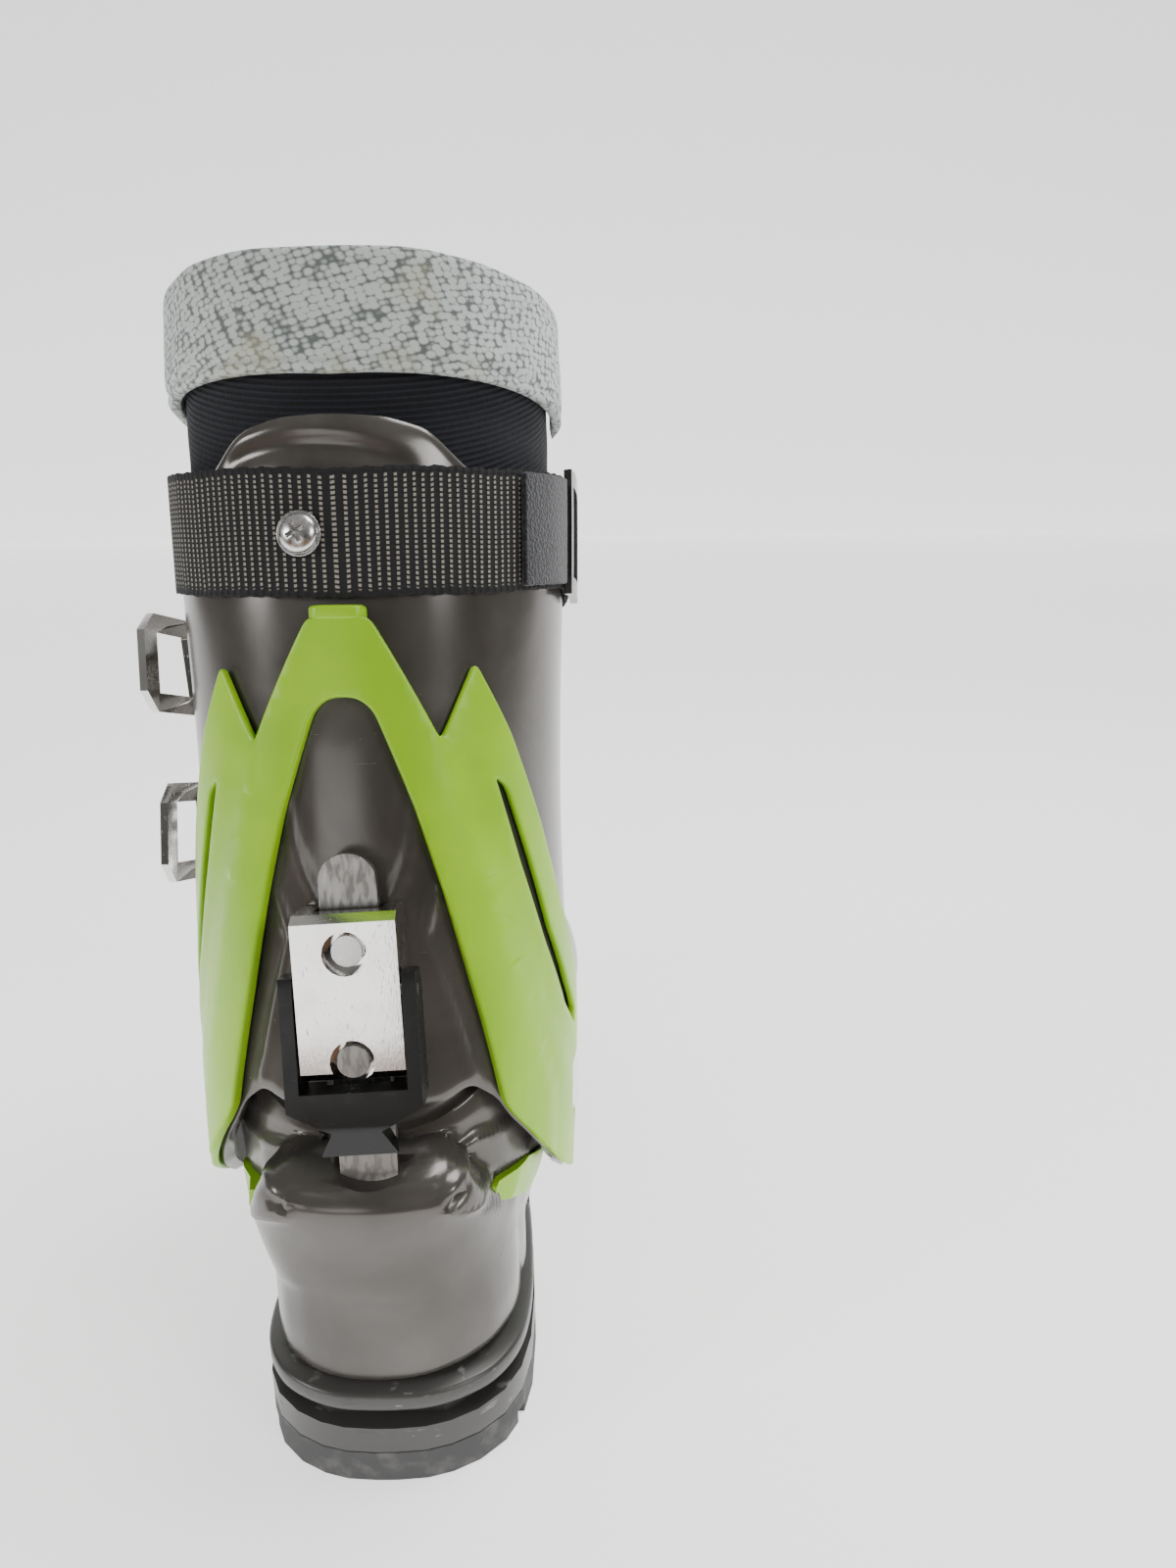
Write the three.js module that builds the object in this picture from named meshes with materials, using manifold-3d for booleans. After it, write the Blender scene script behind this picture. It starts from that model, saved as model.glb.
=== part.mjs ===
// A left alpine touring ski boot: a hinged cuff on a lower shell, a ski/walk lock at the back,
// four buckles, a power strap, a rubber sole and a removable liner.
// Millimetres, +Z up. The origin is on the floor under the centre of the heel, the toe points along
// +Y and the outer (lateral) side, which carries the buckle levers, is -X.
import * as THREE from "three";
import { mergeVertices } from "three/addons/utils/BufferGeometryUtils.js";
import { TessellateModifier } from "three/addons/modifiers/TessellateModifier.js";
import Module from "manifold-3d";

const wasm = await Module();
wasm.setup();

// ---------------------------------------------------------------- driving dimensions
const GAP = 0.35; // clearance between pieces that rest on each other
const RUN_GAP = 2.2; // clearance between the cuff and the lower shell that it turns on

const PIVOT = { y: 30, z: 86 }; // ankle hinge
const LEAN = 15; // forward lean of the leg axis in ski mode, degrees
const CANT = 0.02; // sideways lean of the cuff, as a slope
const CUFF_SHIFT = -3; // the leg stands a little to the outside of the sole's middle
const CUFF_WALL = 3.6;
const SHELL_WALL = 4;
const LINER_WALL = 8;

const HEEL_BACK = -38; // rearmost point of the sole
const TOE_FRONT = 267;
const OUTSOLE_TOP = 9.6; // rubber, from the floor
const MIDSOLE_TOP = 18; // hard sole frame, above the rubber
const WELT_LOW = 23.4; // heel and toe welts of the lower shell
const WELT_TOP = 28.8;
const TREAD_DEPTH = 4.2;
const WELT_GROOVE = 6; // how far the groove under the welts is set in
const TOE_SPRING = 9; // rise of the sole at the toe
const TOE_SPRING_START = 185;

const STRAP_WIDTH = 33;
const STRAP_THICK = 1.8;
const EXO_THICK = 3;
const BAR_WIDTH = 15.4;
const BAR_THICK = 3;

const MATERIAL = {
  shell: plastic(0x77726c, 0.32),
  lime: plastic(0xb4e600, 0.4),
  sole: plastic(0x6c6b6a, 0.45),
  rubber: plastic(0x55585a, 0.8),
  black: plastic(0x15171a, 0.35),
  tread: plastic(0x141414, 0.85),
  smoke: plastic(0x2a2d2e, 0.25),
  webbing: plastic(0x3b3a38, 0.95),
  velcro: plastic(0x17181b, 1),
  mesh: plastic(0xcfd6d3, 0.9),
  fabric: plastic(0x11131a, 0.95),
  foam: plastic(0x2b2b2e, 0.95),
  steel: new THREE.MeshStandardMaterial({ color: 0xb9bcc0, roughness: 0.25, metalness: 1 }),
  alloy: new THREE.MeshStandardMaterial({ color: 0xc8cacc, roughness: 0.18, metalness: 1 }),
};

function plastic(color, roughness) {
  return new THREE.MeshStandardMaterial({ color, roughness, metalness: 0 });
}

// ---------------------------------------------------------------- solids
const boot = new THREE.Group();

function addPiece(name, geometry, material) {
  const mesh = new THREE.Mesh(geometry, material);
  mesh.name = name;
  boot.add(mesh);
}

// A closed three.js geometry as a manifold-3d solid.
function solid(geometry) {
  const bare = geometry.index ? geometry.toNonIndexed() : geometry.clone();
  bare.deleteAttribute("normal");
  bare.deleteAttribute("uv");
  const merged = mergeVertices(bare, 1e-3);
  return new wasm.Manifold(
    new wasm.Mesh({
      numProp: 3,
      vertProperties: merged.attributes.position.array,
      triVerts: new Uint32Array(merged.index.array),
    }),
  );
}

// The biggest body of a solid; a cut along a curved seat can leave crumbs.
function biggest(manifold) {
  return manifold.decompose().sort((a, b) => b.volume() - a.volume())[0];
}

function geometryOf(manifold) {
  const mesh = manifold.getMesh();
  const positions = new Float32Array(mesh.numVert * 3);
  for (let i = 0; i < mesh.numVert; i++)
    positions.set(mesh.vertProperties.subarray(i * mesh.numProp, i * mesh.numProp + 3), i * 3);
  return new THREE.BufferGeometry()
    .setAttribute("position", new THREE.BufferAttribute(positions, 3))
    .setIndex(new THREE.BufferAttribute(mesh.triVerts, 1));
}

// The skin over a row of rings with equally many points. Both ends are closed to their middles.
function loft(rings, flip = false) {
  const count = rings[0].length;
  const points = rings.flat();
  const triangles = [];
  const face = (a, b, c) => triangles.push(...(flip ? [a, c, b] : [a, b, c]));
  for (let r = 0; r + 1 < rings.length; r++)
    for (let i = 0; i < count; i++) {
      const j = (i + 1) % count;
      const [a, b] = [r * count + i, r * count + j];
      face(a, b, b + count);
      face(a, b + count, a + count);
    }
  const cap = (ring, first, forward) => {
    const middle = ring.reduce((sum, p) => sum.add(p), new THREE.Vector3()).divideScalar(count);
    points.push(middle);
    for (let i = 0; i < count; i++) {
      const j = (i + 1) % count;
      if (forward) face(points.length - 1, first + i, first + j);
      else face(points.length - 1, first + j, first + i);
    }
  };
  cap(rings[0], 0, false);
  cap(rings[rings.length - 1], (rings.length - 1) * count, true);
  return new THREE.BufferGeometry().setFromPoints(points).setIndex(triangles);
}

function box(x0, x1, y0, y1, z0, z1) {
  return new THREE.BoxGeometry(x1 - x0, y1 - y0, z1 - z0).translate(
    (x0 + x1) / 2,
    (y0 + y1) / 2,
    (z0 + z1) / 2,
  );
}

function rod(radius, from, to, sides = 12) {
  const along = to.clone().sub(from);
  const turn = new THREE.Quaternion().setFromUnitVectors(
    new THREE.Vector3(0, 1, 0),
    along.clone().normalize(),
  );
  return new THREE.CylinderGeometry(radius, radius, along.length(), sides)
    .applyQuaternion(turn)
    .translate(...from.clone().add(to).multiplyScalar(0.5).toArray());
}

// A pan-head fastener: a shank with a low head, along a direction from the seat under its head.
function fastener(seat, direction, shankRadius, shankLength, headRadius, headHeight) {
  const profile = [
    [0, -shankLength],
    [shankRadius, -shankLength],
    [shankRadius, 0],
    [headRadius, 0],
    [headRadius, headHeight * 0.45],
    [headRadius * 0.6, headHeight],
    [0, headHeight],
  ].map(([x, y]) => new THREE.Vector2(x, y));
  const turn = new THREE.Quaternion().setFromUnitVectors(new THREE.Vector3(0, 1, 0), direction);
  return new THREE.LatheGeometry(profile, 14)
    .applyQuaternion(turn)
    .translate(seat.x, seat.y, seat.z);
}

// ---------------------------------------------------------------- leg surface
// The outer skin of the cuff. A point is found from the angle round the leg axis (0 at the back,
// +90 on the inner side, 180 at the shin), the height along that axis from the pivot, and an offset.
const LEG_STEP = 30;
const LEG_FIRST = -30;
const LEG_STATIONS = [
  // half width, back depth, shin depth
  [52, 57, 66],
  [54, 55, 66],
  [55, 54, 65],
  [54.5, 56, 62],
  [54.5, 58, 60],
  [55.5, 60, 60],
  [57, 62.5, 61],
  [58, 64.5, 62],
  [58.5, 66, 63],
  [58.5, 67, 64],
  [58.5, 67, 65],
];
const legProfile = new THREE.CatmullRomCurve3(
  LEG_STATIONS.map((station) => new THREE.Vector3(...station)),
);
const LEG_SQUARENESS = 2.2;
// The cuff's lower edge as [angle, height].
const CUFF_BOTTOM = [
  [0, 8],
  [20, 8],
  [30, 12],
  [39, 7],
  [44, 1],
  [57, -9],
  [72, -19],
  [88, -27],
  [104, -27],
  [108, -12],
  [114, 12],
  [124, 34],
  [140, 52],
  [160, 64],
  [180, 69],
  [206, 70],
];

const LEG_RADIUS = 57; // turns an angle round the leg into a distance
const rad = THREE.MathUtils.degToRad;
const legUp = new THREE.Vector3(0, Math.sin(rad(LEAN)), Math.cos(rad(LEAN)));
const legForward = new THREE.Vector3(0, Math.cos(rad(LEAN)), -Math.sin(rad(LEAN)));

function rounded(value) {
  return Math.sign(value) * Math.abs(value) ** (2 / LEG_SQUARENESS);
}

function legPoint(angle, height, offset = 0) {
  const place = (height - LEG_FIRST) / (LEG_STEP * (LEG_STATIONS.length - 1));
  const size = legProfile.getPoint(THREE.MathUtils.clamp(place, 0, 1));
  const [s, c] = [Math.sin(rad(angle)), Math.cos(rad(angle))];
  const depth = c > 0 ? size.y : size.z;
  return new THREE.Vector3(
    (size.x + offset) * rounded(s) + CUFF_SHIFT - CANT * height,
    PIVOT.y,
    PIVOT.z,
  )
    .addScaledVector(legUp, height)
    .addScaledVector(legForward, -(depth + offset) * rounded(c));
}

function legNormal(angle, height) {
  const d = 1;
  const along = legPoint(angle + d, height).sub(legPoint(angle - d, height));
  const up = legPoint(angle, height + d).sub(legPoint(angle, height - d));
  return along.cross(up).normalize();
}

// Straight-line interpolation in a table of [angle, value] pairs, the same on both sides.
function byAngle(table, angle) {
  const at = Math.abs(angle);
  const next = table.findIndex(([key]) => key >= at);
  if (next <= 0) return next === 0 ? table[0][1] : table[table.length - 1][1];
  const [[a, va], [b, vb]] = [table[next - 1], table[next]];
  return THREE.MathUtils.mapLinear(at, a, b, va, vb);
}

// A wall that follows the leg: for each angle a low and a high edge, an inner and an outer offset.
function legWall(angles, low, high, inner, outer, rows) {
  const rings = angles.map((angle) => {
    const ring = [];
    const [from, to] = [low(angle), high(angle)];
    for (let i = 0; i <= rows; i++)
      ring.push(legPoint(angle, THREE.MathUtils.lerp(from, to, i / rows), outer(angle)));
    for (let i = rows; i >= 0; i--)
      ring.push(legPoint(angle, THREE.MathUtils.lerp(from, to, i / rows), inner(angle)));
    return ring;
  });
  return loft(rings, true);
}

function range(from, to, step) {
  const count = Math.round((to - from) / step);
  return Array.from({ length: count + 1 }, (_, i) => from + ((to - from) * i) / count);
}

// A whole tube round the leg, open at both ends, as one closed wall.
function legTube(low, high, inner, outer, rows, step = 10) {
  const angles = range(-180, 180 - step, step);
  const ringAt = (share, offset) =>
    angles.map((a) => legPoint(a, THREE.MathUtils.lerp(low(a), high(a), share), offset(a)));
  const shares = range(0, 1, 1 / rows);
  const outside = shares.map((share) => ringAt(share, outer));
  const inside = shares.reverse().map((share) => ringAt(share, inner));
  const rings = [...outside, ...inside];
  rings.push(rings[0]);
  const count = angles.length;
  const points = rings.slice(0, -1).flat();
  const triangles = [];
  for (let r = 0; r + 1 < rings.length; r++)
    for (let i = 0; i < count; i++) {
      const j = (i + 1) % count;
      const next = ((r + 1) % (rings.length - 1)) * count;
      triangles.push(r * count + i, r * count + j, next + j, r * count + i, next + j, next + i);
    }
  return new THREE.BufferGeometry().setFromPoints(points).setIndex(triangles);
}

// ---------------------------------------------------------------- foot surface
// The outer skin of the lower shell, as sections that fan from the toe round the heel to the collar.
// Each runs from its sole or heel point to its instep point, with half widths at five levels.
const LEVELS = [0.06, 0.25, 0.5, 0.75, 0.94];
const SECTIONS = [
  { sole: [258, 36], instep: [258, 50], half: [9, 13, 14, 13, 8], shift: 8 },
  { sole: [251, 32], instep: [250, 63], half: [24, 30, 31, 27, 15], shift: 7 },
  { sole: [237, 29], instep: [235, 73], half: [35, 41, 42, 36, 19], shift: 5 },
  { sole: [213, 27], instep: [209, 82], half: [42, 49, 49, 42, 22], shift: 2 },
  { sole: [183, 26], instep: [177, 89], half: [43, 51, 51, 43, 23], shift: 0 },
  { sole: [150, 26], instep: [148, 97], half: [38, 47, 48, 41, 22], shift: -2 },
  { sole: [115, 26], instep: [126, 106], half: [34, 43, 45, 39, 22], shift: -3 },
  { sole: [80, 26], instep: [110, 116], half: [31, 41, 44.5, 40, 24], shift: -3 },
  { sole: [45, 26], instep: [101, 125], half: [31, 41, 46, 43, 27], shift: -2.5 },
  { sole: [12, 26], instep: [95, 132], half: [30, 42, 47.5, 45, 30], shift: -2 },
  { sole: [-12, 28], instep: [91, 137], half: [26, 40, 47.5, 45.5, 31], shift: -2 },
  { sole: [-26, 37], instep: [88, 141], half: [24, 39, 47.5, 46, 32], shift: -2.5 },
  { sole: [-32, 52], instep: [86, 144], half: [25, 40, 47.5, 46, 32], shift: -3 },
  { sole: [-34, 70], instep: [84, 146], half: [28, 41.5, 47.5, 46.5, 33], shift: -3 },
  { sole: [-36.5, 84], instep: [82.5, 148], half: [31, 44, 47.5, 46.5, 33], shift: -3 },
  { sole: [-35.5, 95], instep: [81, 150], half: [32, 44.5, 47.5, 46.5, 33], shift: -3 },
  { sole: [-31, 98.5], instep: [80, 151.5], half: [30, 43.5, 47.5, 46.5, 33], shift: -3 },
  { sole: [-17.4, 97], instep: [79, 153], half: [20, 39, 47, 46.5, 33], shift: -3.5 },
  { sole: [-12, 108], instep: [78, 154.5], half: [20, 38.5, 47, 46.5, 33], shift: -3.5 },
  { sole: [-4, 118], instep: [77, 156], half: [20, 38, 47, 46, 33], shift: -3.5 },
];
const RIDGE_WALL = 11; // extra thick ring behind the heel that holds the lock bar
const RIDGE_LOW = 65;
const RIDGE_HIGH = 96;
const RING_POINTS = 20;
const CUFF_SWINGS = [-8, 0, 10]; // how far the cuff turns on the shell, degrees
const ACROSS = new THREE.Vector3(1, 0, 0);

// One ring of the foot surface, set in by inset, and by more at the sole or heel end if asked.
function footRing({ sole, instep, half, shift }, inset = 0, soleInset = inset) {
  const from = new THREE.Vector2(...sole);
  const to = new THREE.Vector2(...instep);
  const length = from.distanceTo(to);
  const along = to.clone().sub(from).divideScalar(length);
  const start = from.clone().addScaledVector(along, soleInset);
  const span = length - inset - soleInset;
  const at = (share, x) => {
    const p = start.clone().addScaledVector(along, span * share);
    return new THREE.Vector3(x + shift, p.x, p.y);
  };
  const side = LEVELS.map((share, i) => [share, Math.max(half[i] - inset, 2)]);
  const knots = [
    at(0, 0),
    ...side.map(([share, x]) => at(share, x)),
    at(1, 0),
    ...side.reverse().map(([share, x]) => at(share, -x)),
  ];
  const ring = new THREE.CatmullRomCurve3(knots, true, "centripetal").getPoints(RING_POINTS).slice(1);
  return ring.map((point) => tuck(point, inset));
}

// Keeps a point of the foot surface inside the cuff, wherever the cuff swings over it.
function tuck(point, inset) {
  const place = point.clone();
  for (const swing of CUFF_SWINGS) {
    const hinge = new THREE.Vector3(place.x, PIVOT.y, PIVOT.z);
    const local = place.clone().sub(hinge).applyAxisAngle(ACROSS, rad(-swing));
    const height = local.dot(legUp);
    const middle = CUFF_SHIFT - CANT * height;
    const [side, ahead] = [place.x - middle, local.dot(legForward)];
    const share = (height - LEG_FIRST) / (LEG_STEP * (LEG_STATIONS.length - 1));
    const size = legProfile.getPoint(THREE.MathUtils.clamp(share, 0, 1));
    const beyond = (set) => {
      const across = Math.abs(side / (size.x - set));
      const deep = Math.abs(ahead / ((ahead < 0 ? size.y : size.z) - set));
      const out = (across ** LEG_SQUARENESS + deep ** LEG_SQUARENESS) ** (1 / LEG_SQUARENESS);
      return Math.max(0, 1 - 1 / out);
    };
    const angle = THREE.MathUtils.radToDeg(Math.atan2(side, -ahead));
    const edge = byAngle(CUFF_BOTTOM, angle);
    const near = 1 - THREE.MathUtils.smoothstep(beyond(CUFF_WALL + RUN_GAP), 0.18, 0.3);
    const flank = THREE.MathUtils.smoothstep(Math.abs(angle), 16, 34);
    const easeFrom = edge - THREE.MathUtils.lerp(12, 24, flank);
    const easeTo = edge - THREE.MathUtils.lerp(5.5, 10, flank);
    const excess = beyond(CUFF_WALL + RUN_GAP + inset);
    const covered = THREE.MathUtils.smoothstep(height, easeFrom, easeTo);
    const scale = 1 - near * excess * covered;
    local.addScaledVector(legForward, ahead * (scale - 1));
    local.applyAxisAngle(ACROSS, rad(swing)).add(hinge);
    place.set(middle + side * scale, local.y, local.z);
  }
  return place;
}

// The foot surface as rings, grown or set in; set-in forms also leave room for the heel ridge.
function footRings(inset) {
  return SECTIONS.map((section) => {
    const back = section.sole[0] > 200 ? inset : 0;
    const moved = {
      ...section,
      sole: [section.sole[0] - back, section.sole[1]],
      instep: [section.instep[0] - back, section.instep[1]],
    };
    const high = section.sole[1] > RIDGE_LOW && section.sole[1] < RIDGE_HIGH;
    return footRing(moved, inset, inset > 0 && high ? inset + RIDGE_WALL : inset);
  });
}

function footForm(inset) {
  return solid(loft(footRings(inset)));
}

// A hollow foot form, closed at the toe and open at the collar, moved sideways by aside.
function footShell(outset, wall, aside = 0) {
  const rings = [...footRings(outset), ...footRings(outset + wall).reverse()];
  return solid(loft(rings).translate(aside, 0, 0));
}

// ---------------------------------------------------------------- sole outline
const SOLE_STATIONS = [
  // distance along the boot, half width, sideways shift
  [-38, 3, 0],
  [-37, 13, 0],
  [-33, 23, 0],
  [-26, 31.5, 0],
  [-14, 37.5, 0],
  [4, 39.5, 0],
  [30, 38.5, 0],
  [62, 35.5, 0],
  [95, 34.5, -1],
  [128, 39, -2],
  [160, 46.5, -1],
  [188, 49.5, 0],
  [212, 47.5, 2],
  [234, 41.5, 4],
  [250, 32, 6],
  [260, 21, 7],
  [265, 11, 8],
  [267, 3, 8],
];
const soleLine = new THREE.CatmullRomCurve3(
  SOLE_STATIONS.map(([y, half, shift]) => new THREE.Vector3(shift, y, half)),
  false,
  "centripetal",
);
const soleSamples = soleLine.getPoints(240);

function soleHalf(y) {
  const next = soleSamples.findIndex((p) => p.y >= y);
  if (next <= 0) return soleSamples[next === 0 ? 0 : soleSamples.length - 1];
  const [a, b] = [soleSamples[next - 1], soleSamples[next]];
  return a.clone().lerp(b, (y - a.y) / Math.max(b.y - a.y, 1e-6));
}

function toeRise(y) {
  return TOE_SPRING * Math.max(0, (y - TOE_SPRING_START) / (TOE_FRONT - TOE_SPRING_START)) ** 2;
}

// A slab of the sole between two heights, set in from the outline, from one distance to another.
function soleSlab(low, high, inset = 0, from = HEEL_BACK, to = TOE_FRONT) {
  const [start, end] = [Math.max(from, HEEL_BACK + inset), Math.min(to, TOE_FRONT - inset)];
  const ease = [0, 0.03, 0.12, 0.3, 0.6, 1];
  const round = 22;
  const places = [
    ...(from > HEEL_BACK + inset ? [start] : ease.map((e) => start + round * e)),
    ...range(start + round + 12, end - round - 12, 20),
    ...(to < TOE_FRONT - inset ? [end] : ease.map((e) => end - round * e).reverse()),
  ].filter((y) => y >= start && y <= end);
  const rings = places.map((y) => {
    const p = soleHalf(y);
    const nearEnd = Math.min(y - HEEL_BACK, TOE_FRONT - y);
    const half = Math.max(p.z - inset * (nearEnd < 30 ? 1 + (30 - nearEnd) / 60 : 1), 2.2);
    const rise = toeRise(y);
    return [
      new THREE.Vector3(p.x - half, y, low + rise),
      new THREE.Vector3(p.x + half, y, low + rise),
      new THREE.Vector3(p.x + half, y, high + rise),
      new THREE.Vector3(p.x - half, y, high + rise),
    ];
  });
  return loft(rings, true);
}

// ---------------------------------------------------------------- ski/walk lock placing
// The lock bar stands behind the cuff. Its frame: across, up along the bar and outward to the back.
const BAR_FOOT = new THREE.Vector3(-0.5, -29, 84); // hinge on the lower shell
const BAR_TOP = new THREE.Vector3(-5, -10.5, 177);
const barUp = BAR_TOP.clone().sub(BAR_FOOT).normalize();
const barAcross = new THREE.Vector3(1, 0, 0).addScaledVector(barUp, -barUp.x).normalize();
const barOut = barAcross.clone().cross(barUp);
const BAR_LENGTH = BAR_TOP.distanceTo(BAR_FOOT);
const barTurn = new THREE.Matrix4()
  .makeBasis(barAcross, barOut.clone().negate(), barUp)
  .setPosition(BAR_FOOT);

// A shape drawn with +X across, -Y outward and +Z up the bar, moved to its place.
function inBarFrame(geometry) {
  return geometry.applyMatrix4(barTurn);
}

// ---------------------------------------------------------------- sole
const GROOVE_YS = [-29, -16.5, 17.5, 30.5];
const TOE_GROOVE_YS = [139, 153, 167, 181, 195, 209, 223, 236];
const GROOVE_HALF = 2;

function addSole() {
  const pad = 7; // rubber rim round the black tread
  const notch = (y, high) => box(-70, 70, y - GROOVE_HALF, y + GROOVE_HALF, -1, high);
  const treads = [
    ["tread_heel", HEEL_BACK + pad + GAP, 46],
    ["tread_toe", 128, TOE_FRONT - pad - GAP - 6],
  ];
  const arch = (low, high) => solid(box(-70, 70, 56, 118, low, high));

  let rubber = solid(soleSlab(0, OUTSOLE_TOP));
  for (const [, from, to] of treads)
    rubber = rubber.subtract(solid(soleSlab(-1, TREAD_DEPTH + GAP, pad, from - GAP, to + GAP)));
  rubber = rubber.subtract(arch(-1, TREAD_DEPTH + GAP));
  for (const y of [GROOVE_YS[1], GROOVE_YS[2]])
    rubber = rubber.subtract(solid(notch(y, TREAD_DEPTH - 0.4)));
  for (const y of TOE_GROOVE_YS)
    rubber = rubber.subtract(solid(notch(y, TREAD_DEPTH - 0.4 + toeRise(y))));
  addPiece("outsole", geometryOf(rubber), MATERIAL.rubber);

  for (const [name, from, to] of treads) {
    let tread = solid(soleSlab(0, TREAD_DEPTH, pad + GAP, from, to));
    for (const y of [...GROOVE_YS, ...TOE_GROOVE_YS])
      if (y > from + 3 && y < to - 3)
        tread = tread.subtract(solid(notch(y, TREAD_DEPTH - 1.4 + toeRise(y))));
    addPiece(name, geometryOf(tread), MATERIAL.tread);
  }

  const frame = solid(soleSlab(OUTSOLE_TOP + GAP, MIDSOLE_TOP)).add(
    solid(soleSlab(MIDSOLE_TOP - 1, WELT_LOW - GAP, WELT_GROOVE)),
  );
  addPiece("sole_frame", geometryOf(frame), MATERIAL.sole);
}

// ---------------------------------------------------------------- lower shell
const PIVOT_SHANK = 4;
const PIVOT_HEAD = 9.2;
const NOTCH_HALF = 14.5; // smile-shaped notch that the lock bar comes out of
const NOTCH_FLOOR = 91;
const KNUCKLE = 4.2; // radius of the lock bar's foot
const BAR_PIN = 2;

function acrossRod(radius, half, y, z, sides = 14) {
  return rod(radius, new THREE.Vector3(-half, y, z), new THREE.Vector3(half, y, z), sides);
}

function addLowerShell() {
  let shell = footShell(0, SHELL_WALL);
  const base = solid(soleSlab(WELT_LOW, WELT_TOP, WELT_GROOVE));
  const heelWelt = solid(soleSlab(WELT_LOW, WELT_TOP, 0, HEEL_BACK, 48));
  const toeWelt = solid(soleSlab(WELT_LOW, WELT_TOP, 0, 200, TOE_FRONT));
  shell = shell.add(base.add(heelWelt).add(toeWelt).subtract(footForm(SHELL_WALL)));

  const smile = new THREE.Shape()
    .moveTo(-NOTCH_HALF, 16)
    .lineTo(-NOTCH_HALF, 8.5)
    .quadraticCurveTo(-9, 1, 0, 0)
    .quadraticCurveTo(9, 1, NOTCH_HALF, 8.5)
    .lineTo(NOTCH_HALF, 16);
  const cut = { depth: 20, bevelEnabled: false, curveSegments: 5 };
  const notch = new THREE.ExtrudeGeometry(smile, cut)
    .rotateX(Math.PI / 2)
    .translate(0, -23, NOTCH_FLOOR);
  const half = BAR_WIDTH / 2 + 0.9;
  const slot = box(
    BAR_FOOT.x - half,
    BAR_FOOT.x + half,
    BAR_FOOT.y - 4.9,
    BAR_FOOT.y + 5.6,
    BAR_FOOT.z - 6,
    NOTCH_FLOOR + 6,
  );
  shell = shell.subtract(solid(notch)).subtract(solid(slot));
  shell = shell.subtract(solid(inBarFrame(sideRod(BAR_PIN + 0.3, 15, 0, 0))));
  shell = shell.subtract(solid(acrossRod(PIVOT_SHANK + GAP, 80, PIVOT.y, PIVOT.z, 18)));
  for (const { body } of inlays(GAP)) shell = shell.subtract(body);
  addPiece("lower_shell", geometryOf(shell), MATERIAL.shell);
  for (const { name, body } of inlays(0)) addPiece(name, geometryOf(body), MATERIAL.lime);
  addPiece("lock_bar_pin", inBarFrame(sideRod(BAR_PIN, 14.6, 0, 0)), MATERIAL.steel);
}

// Lime inlays on each side of the heel, in a pocket of the lower shell.
function inlays(clearance) {
  const c = clearance;
  const outline = new THREE.Shape()
    .moveTo(-14 - c, 73 - c)
    .lineTo(8, 61 - c)
    .lineTo(30 + c, 58 - c)
    .lineTo(24 + c, 66 + c)
    .lineTo(4, 76 + c)
    .lineTo(-14 - c, 78 + c);
  const prism = new THREE.ExtrudeGeometry(outline, { depth: 70, bevelEnabled: false })
    .rotateX(Math.PI / 2)
    .rotateZ(Math.PI / 2);
  const skin = footForm(-1.2 - c).subtract(footForm(2.4 + c));
  return [
    { name: "ankle_inlay_medial", body: skin.intersect(solid(prism)) },
    { name: "ankle_inlay_lateral", body: skin.intersect(solid(prism.clone().translate(-70, 0, 0))) },
  ];
}

// The overlap flap on the instep, pulled over by the two lower buckles.
const FLAP_THICK = 3;

function addInstepFlap() {
  const skin = footForm(-GAP - FLAP_THICK).subtract(footForm(-GAP));
  const cover = solid(box(-26, 36, 109, 214, 62, 160));
  const corner = solid(box(-40, 0, -40, 0, 0, 200).rotateZ(rad(24)).translate(-27, 196, 0));
  addPiece("instep_flap", geometryOf(skin.intersect(cover).subtract(corner)), MATERIAL.shell);
}

// ---------------------------------------------------------------- inside the lower shell
const BOARD_TOP = 37;
const LINER_GAP = 3;
const FOOT_LINER_WALL = 6.5;
const LINER_HINGE = 56.5; // the foot part of the liner ends in an arc about the ankle hinge

function addFootLiner() {
  const below = (z) => solid(box(-90, 90, -90, 290, -10, z));
  const board = footForm(SHELL_WALL + GAP + 0.3).intersect(below(BOARD_TOP));
  addPiece("boot_board", geometryOf(board), MATERIAL.black);

  const outerInset = SHELL_WALL + LINER_GAP;
  const disc = solid(acrossRod(LINER_HINGE, 90, PIVOT.y, PIVOT.z, 48));
  const above = solid(
    box(-90, 90, -200, 200, 0, 200).rotateX(rad(40)).translate(0, PIVOT.y, PIVOT.z),
  ).intersect(solid(box(-90, 90, -90, 290, PIVOT.z, 300)));
  const floor = BOARD_TOP + 2.3;
  const cavity = footForm(outerInset + FOOT_LINER_WALL).subtract(below(floor));
  let liner = footForm(outerInset).subtract(cavity).subtract(below(BOARD_TOP + GAP));
  for (const slack of [0.5, -0.5]) liner = liner.subtract(footShell(0, SHELL_WALL, slack));
  liner = liner.subtract(above.subtract(disc));
  addPiece("liner_foot", geometryOf(biggest(liner)), MATERIAL.fabric);

  const toes = solid(box(-90, 90, -90, 236, floor + GAP, floor + 5));
  const insole = footForm(outerInset + FOOT_LINER_WALL + GAP).intersect(toes);
  addPiece("insole", geometryOf(insole), MATERIAL.foam);
}

// ---------------------------------------------------------------- cuff
const CUFF_TOP = [
  [0, 191],
  [12, 190.5],
  [23, 188],
  [33, 180],
  [45, 173],
  [62, 169],
  [90, 168],
  [125, 162],
  [150, 150],
  [206, 140],
];
const FLAP_START = 118; // where the upper flap begins to rise over the lower one
const FLAP_OVER = 160;
const FLAP_RISE = CUFF_WALL + 0.7;
const LATERAL_END = -196;
const MEDIAL_END = 206;

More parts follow.
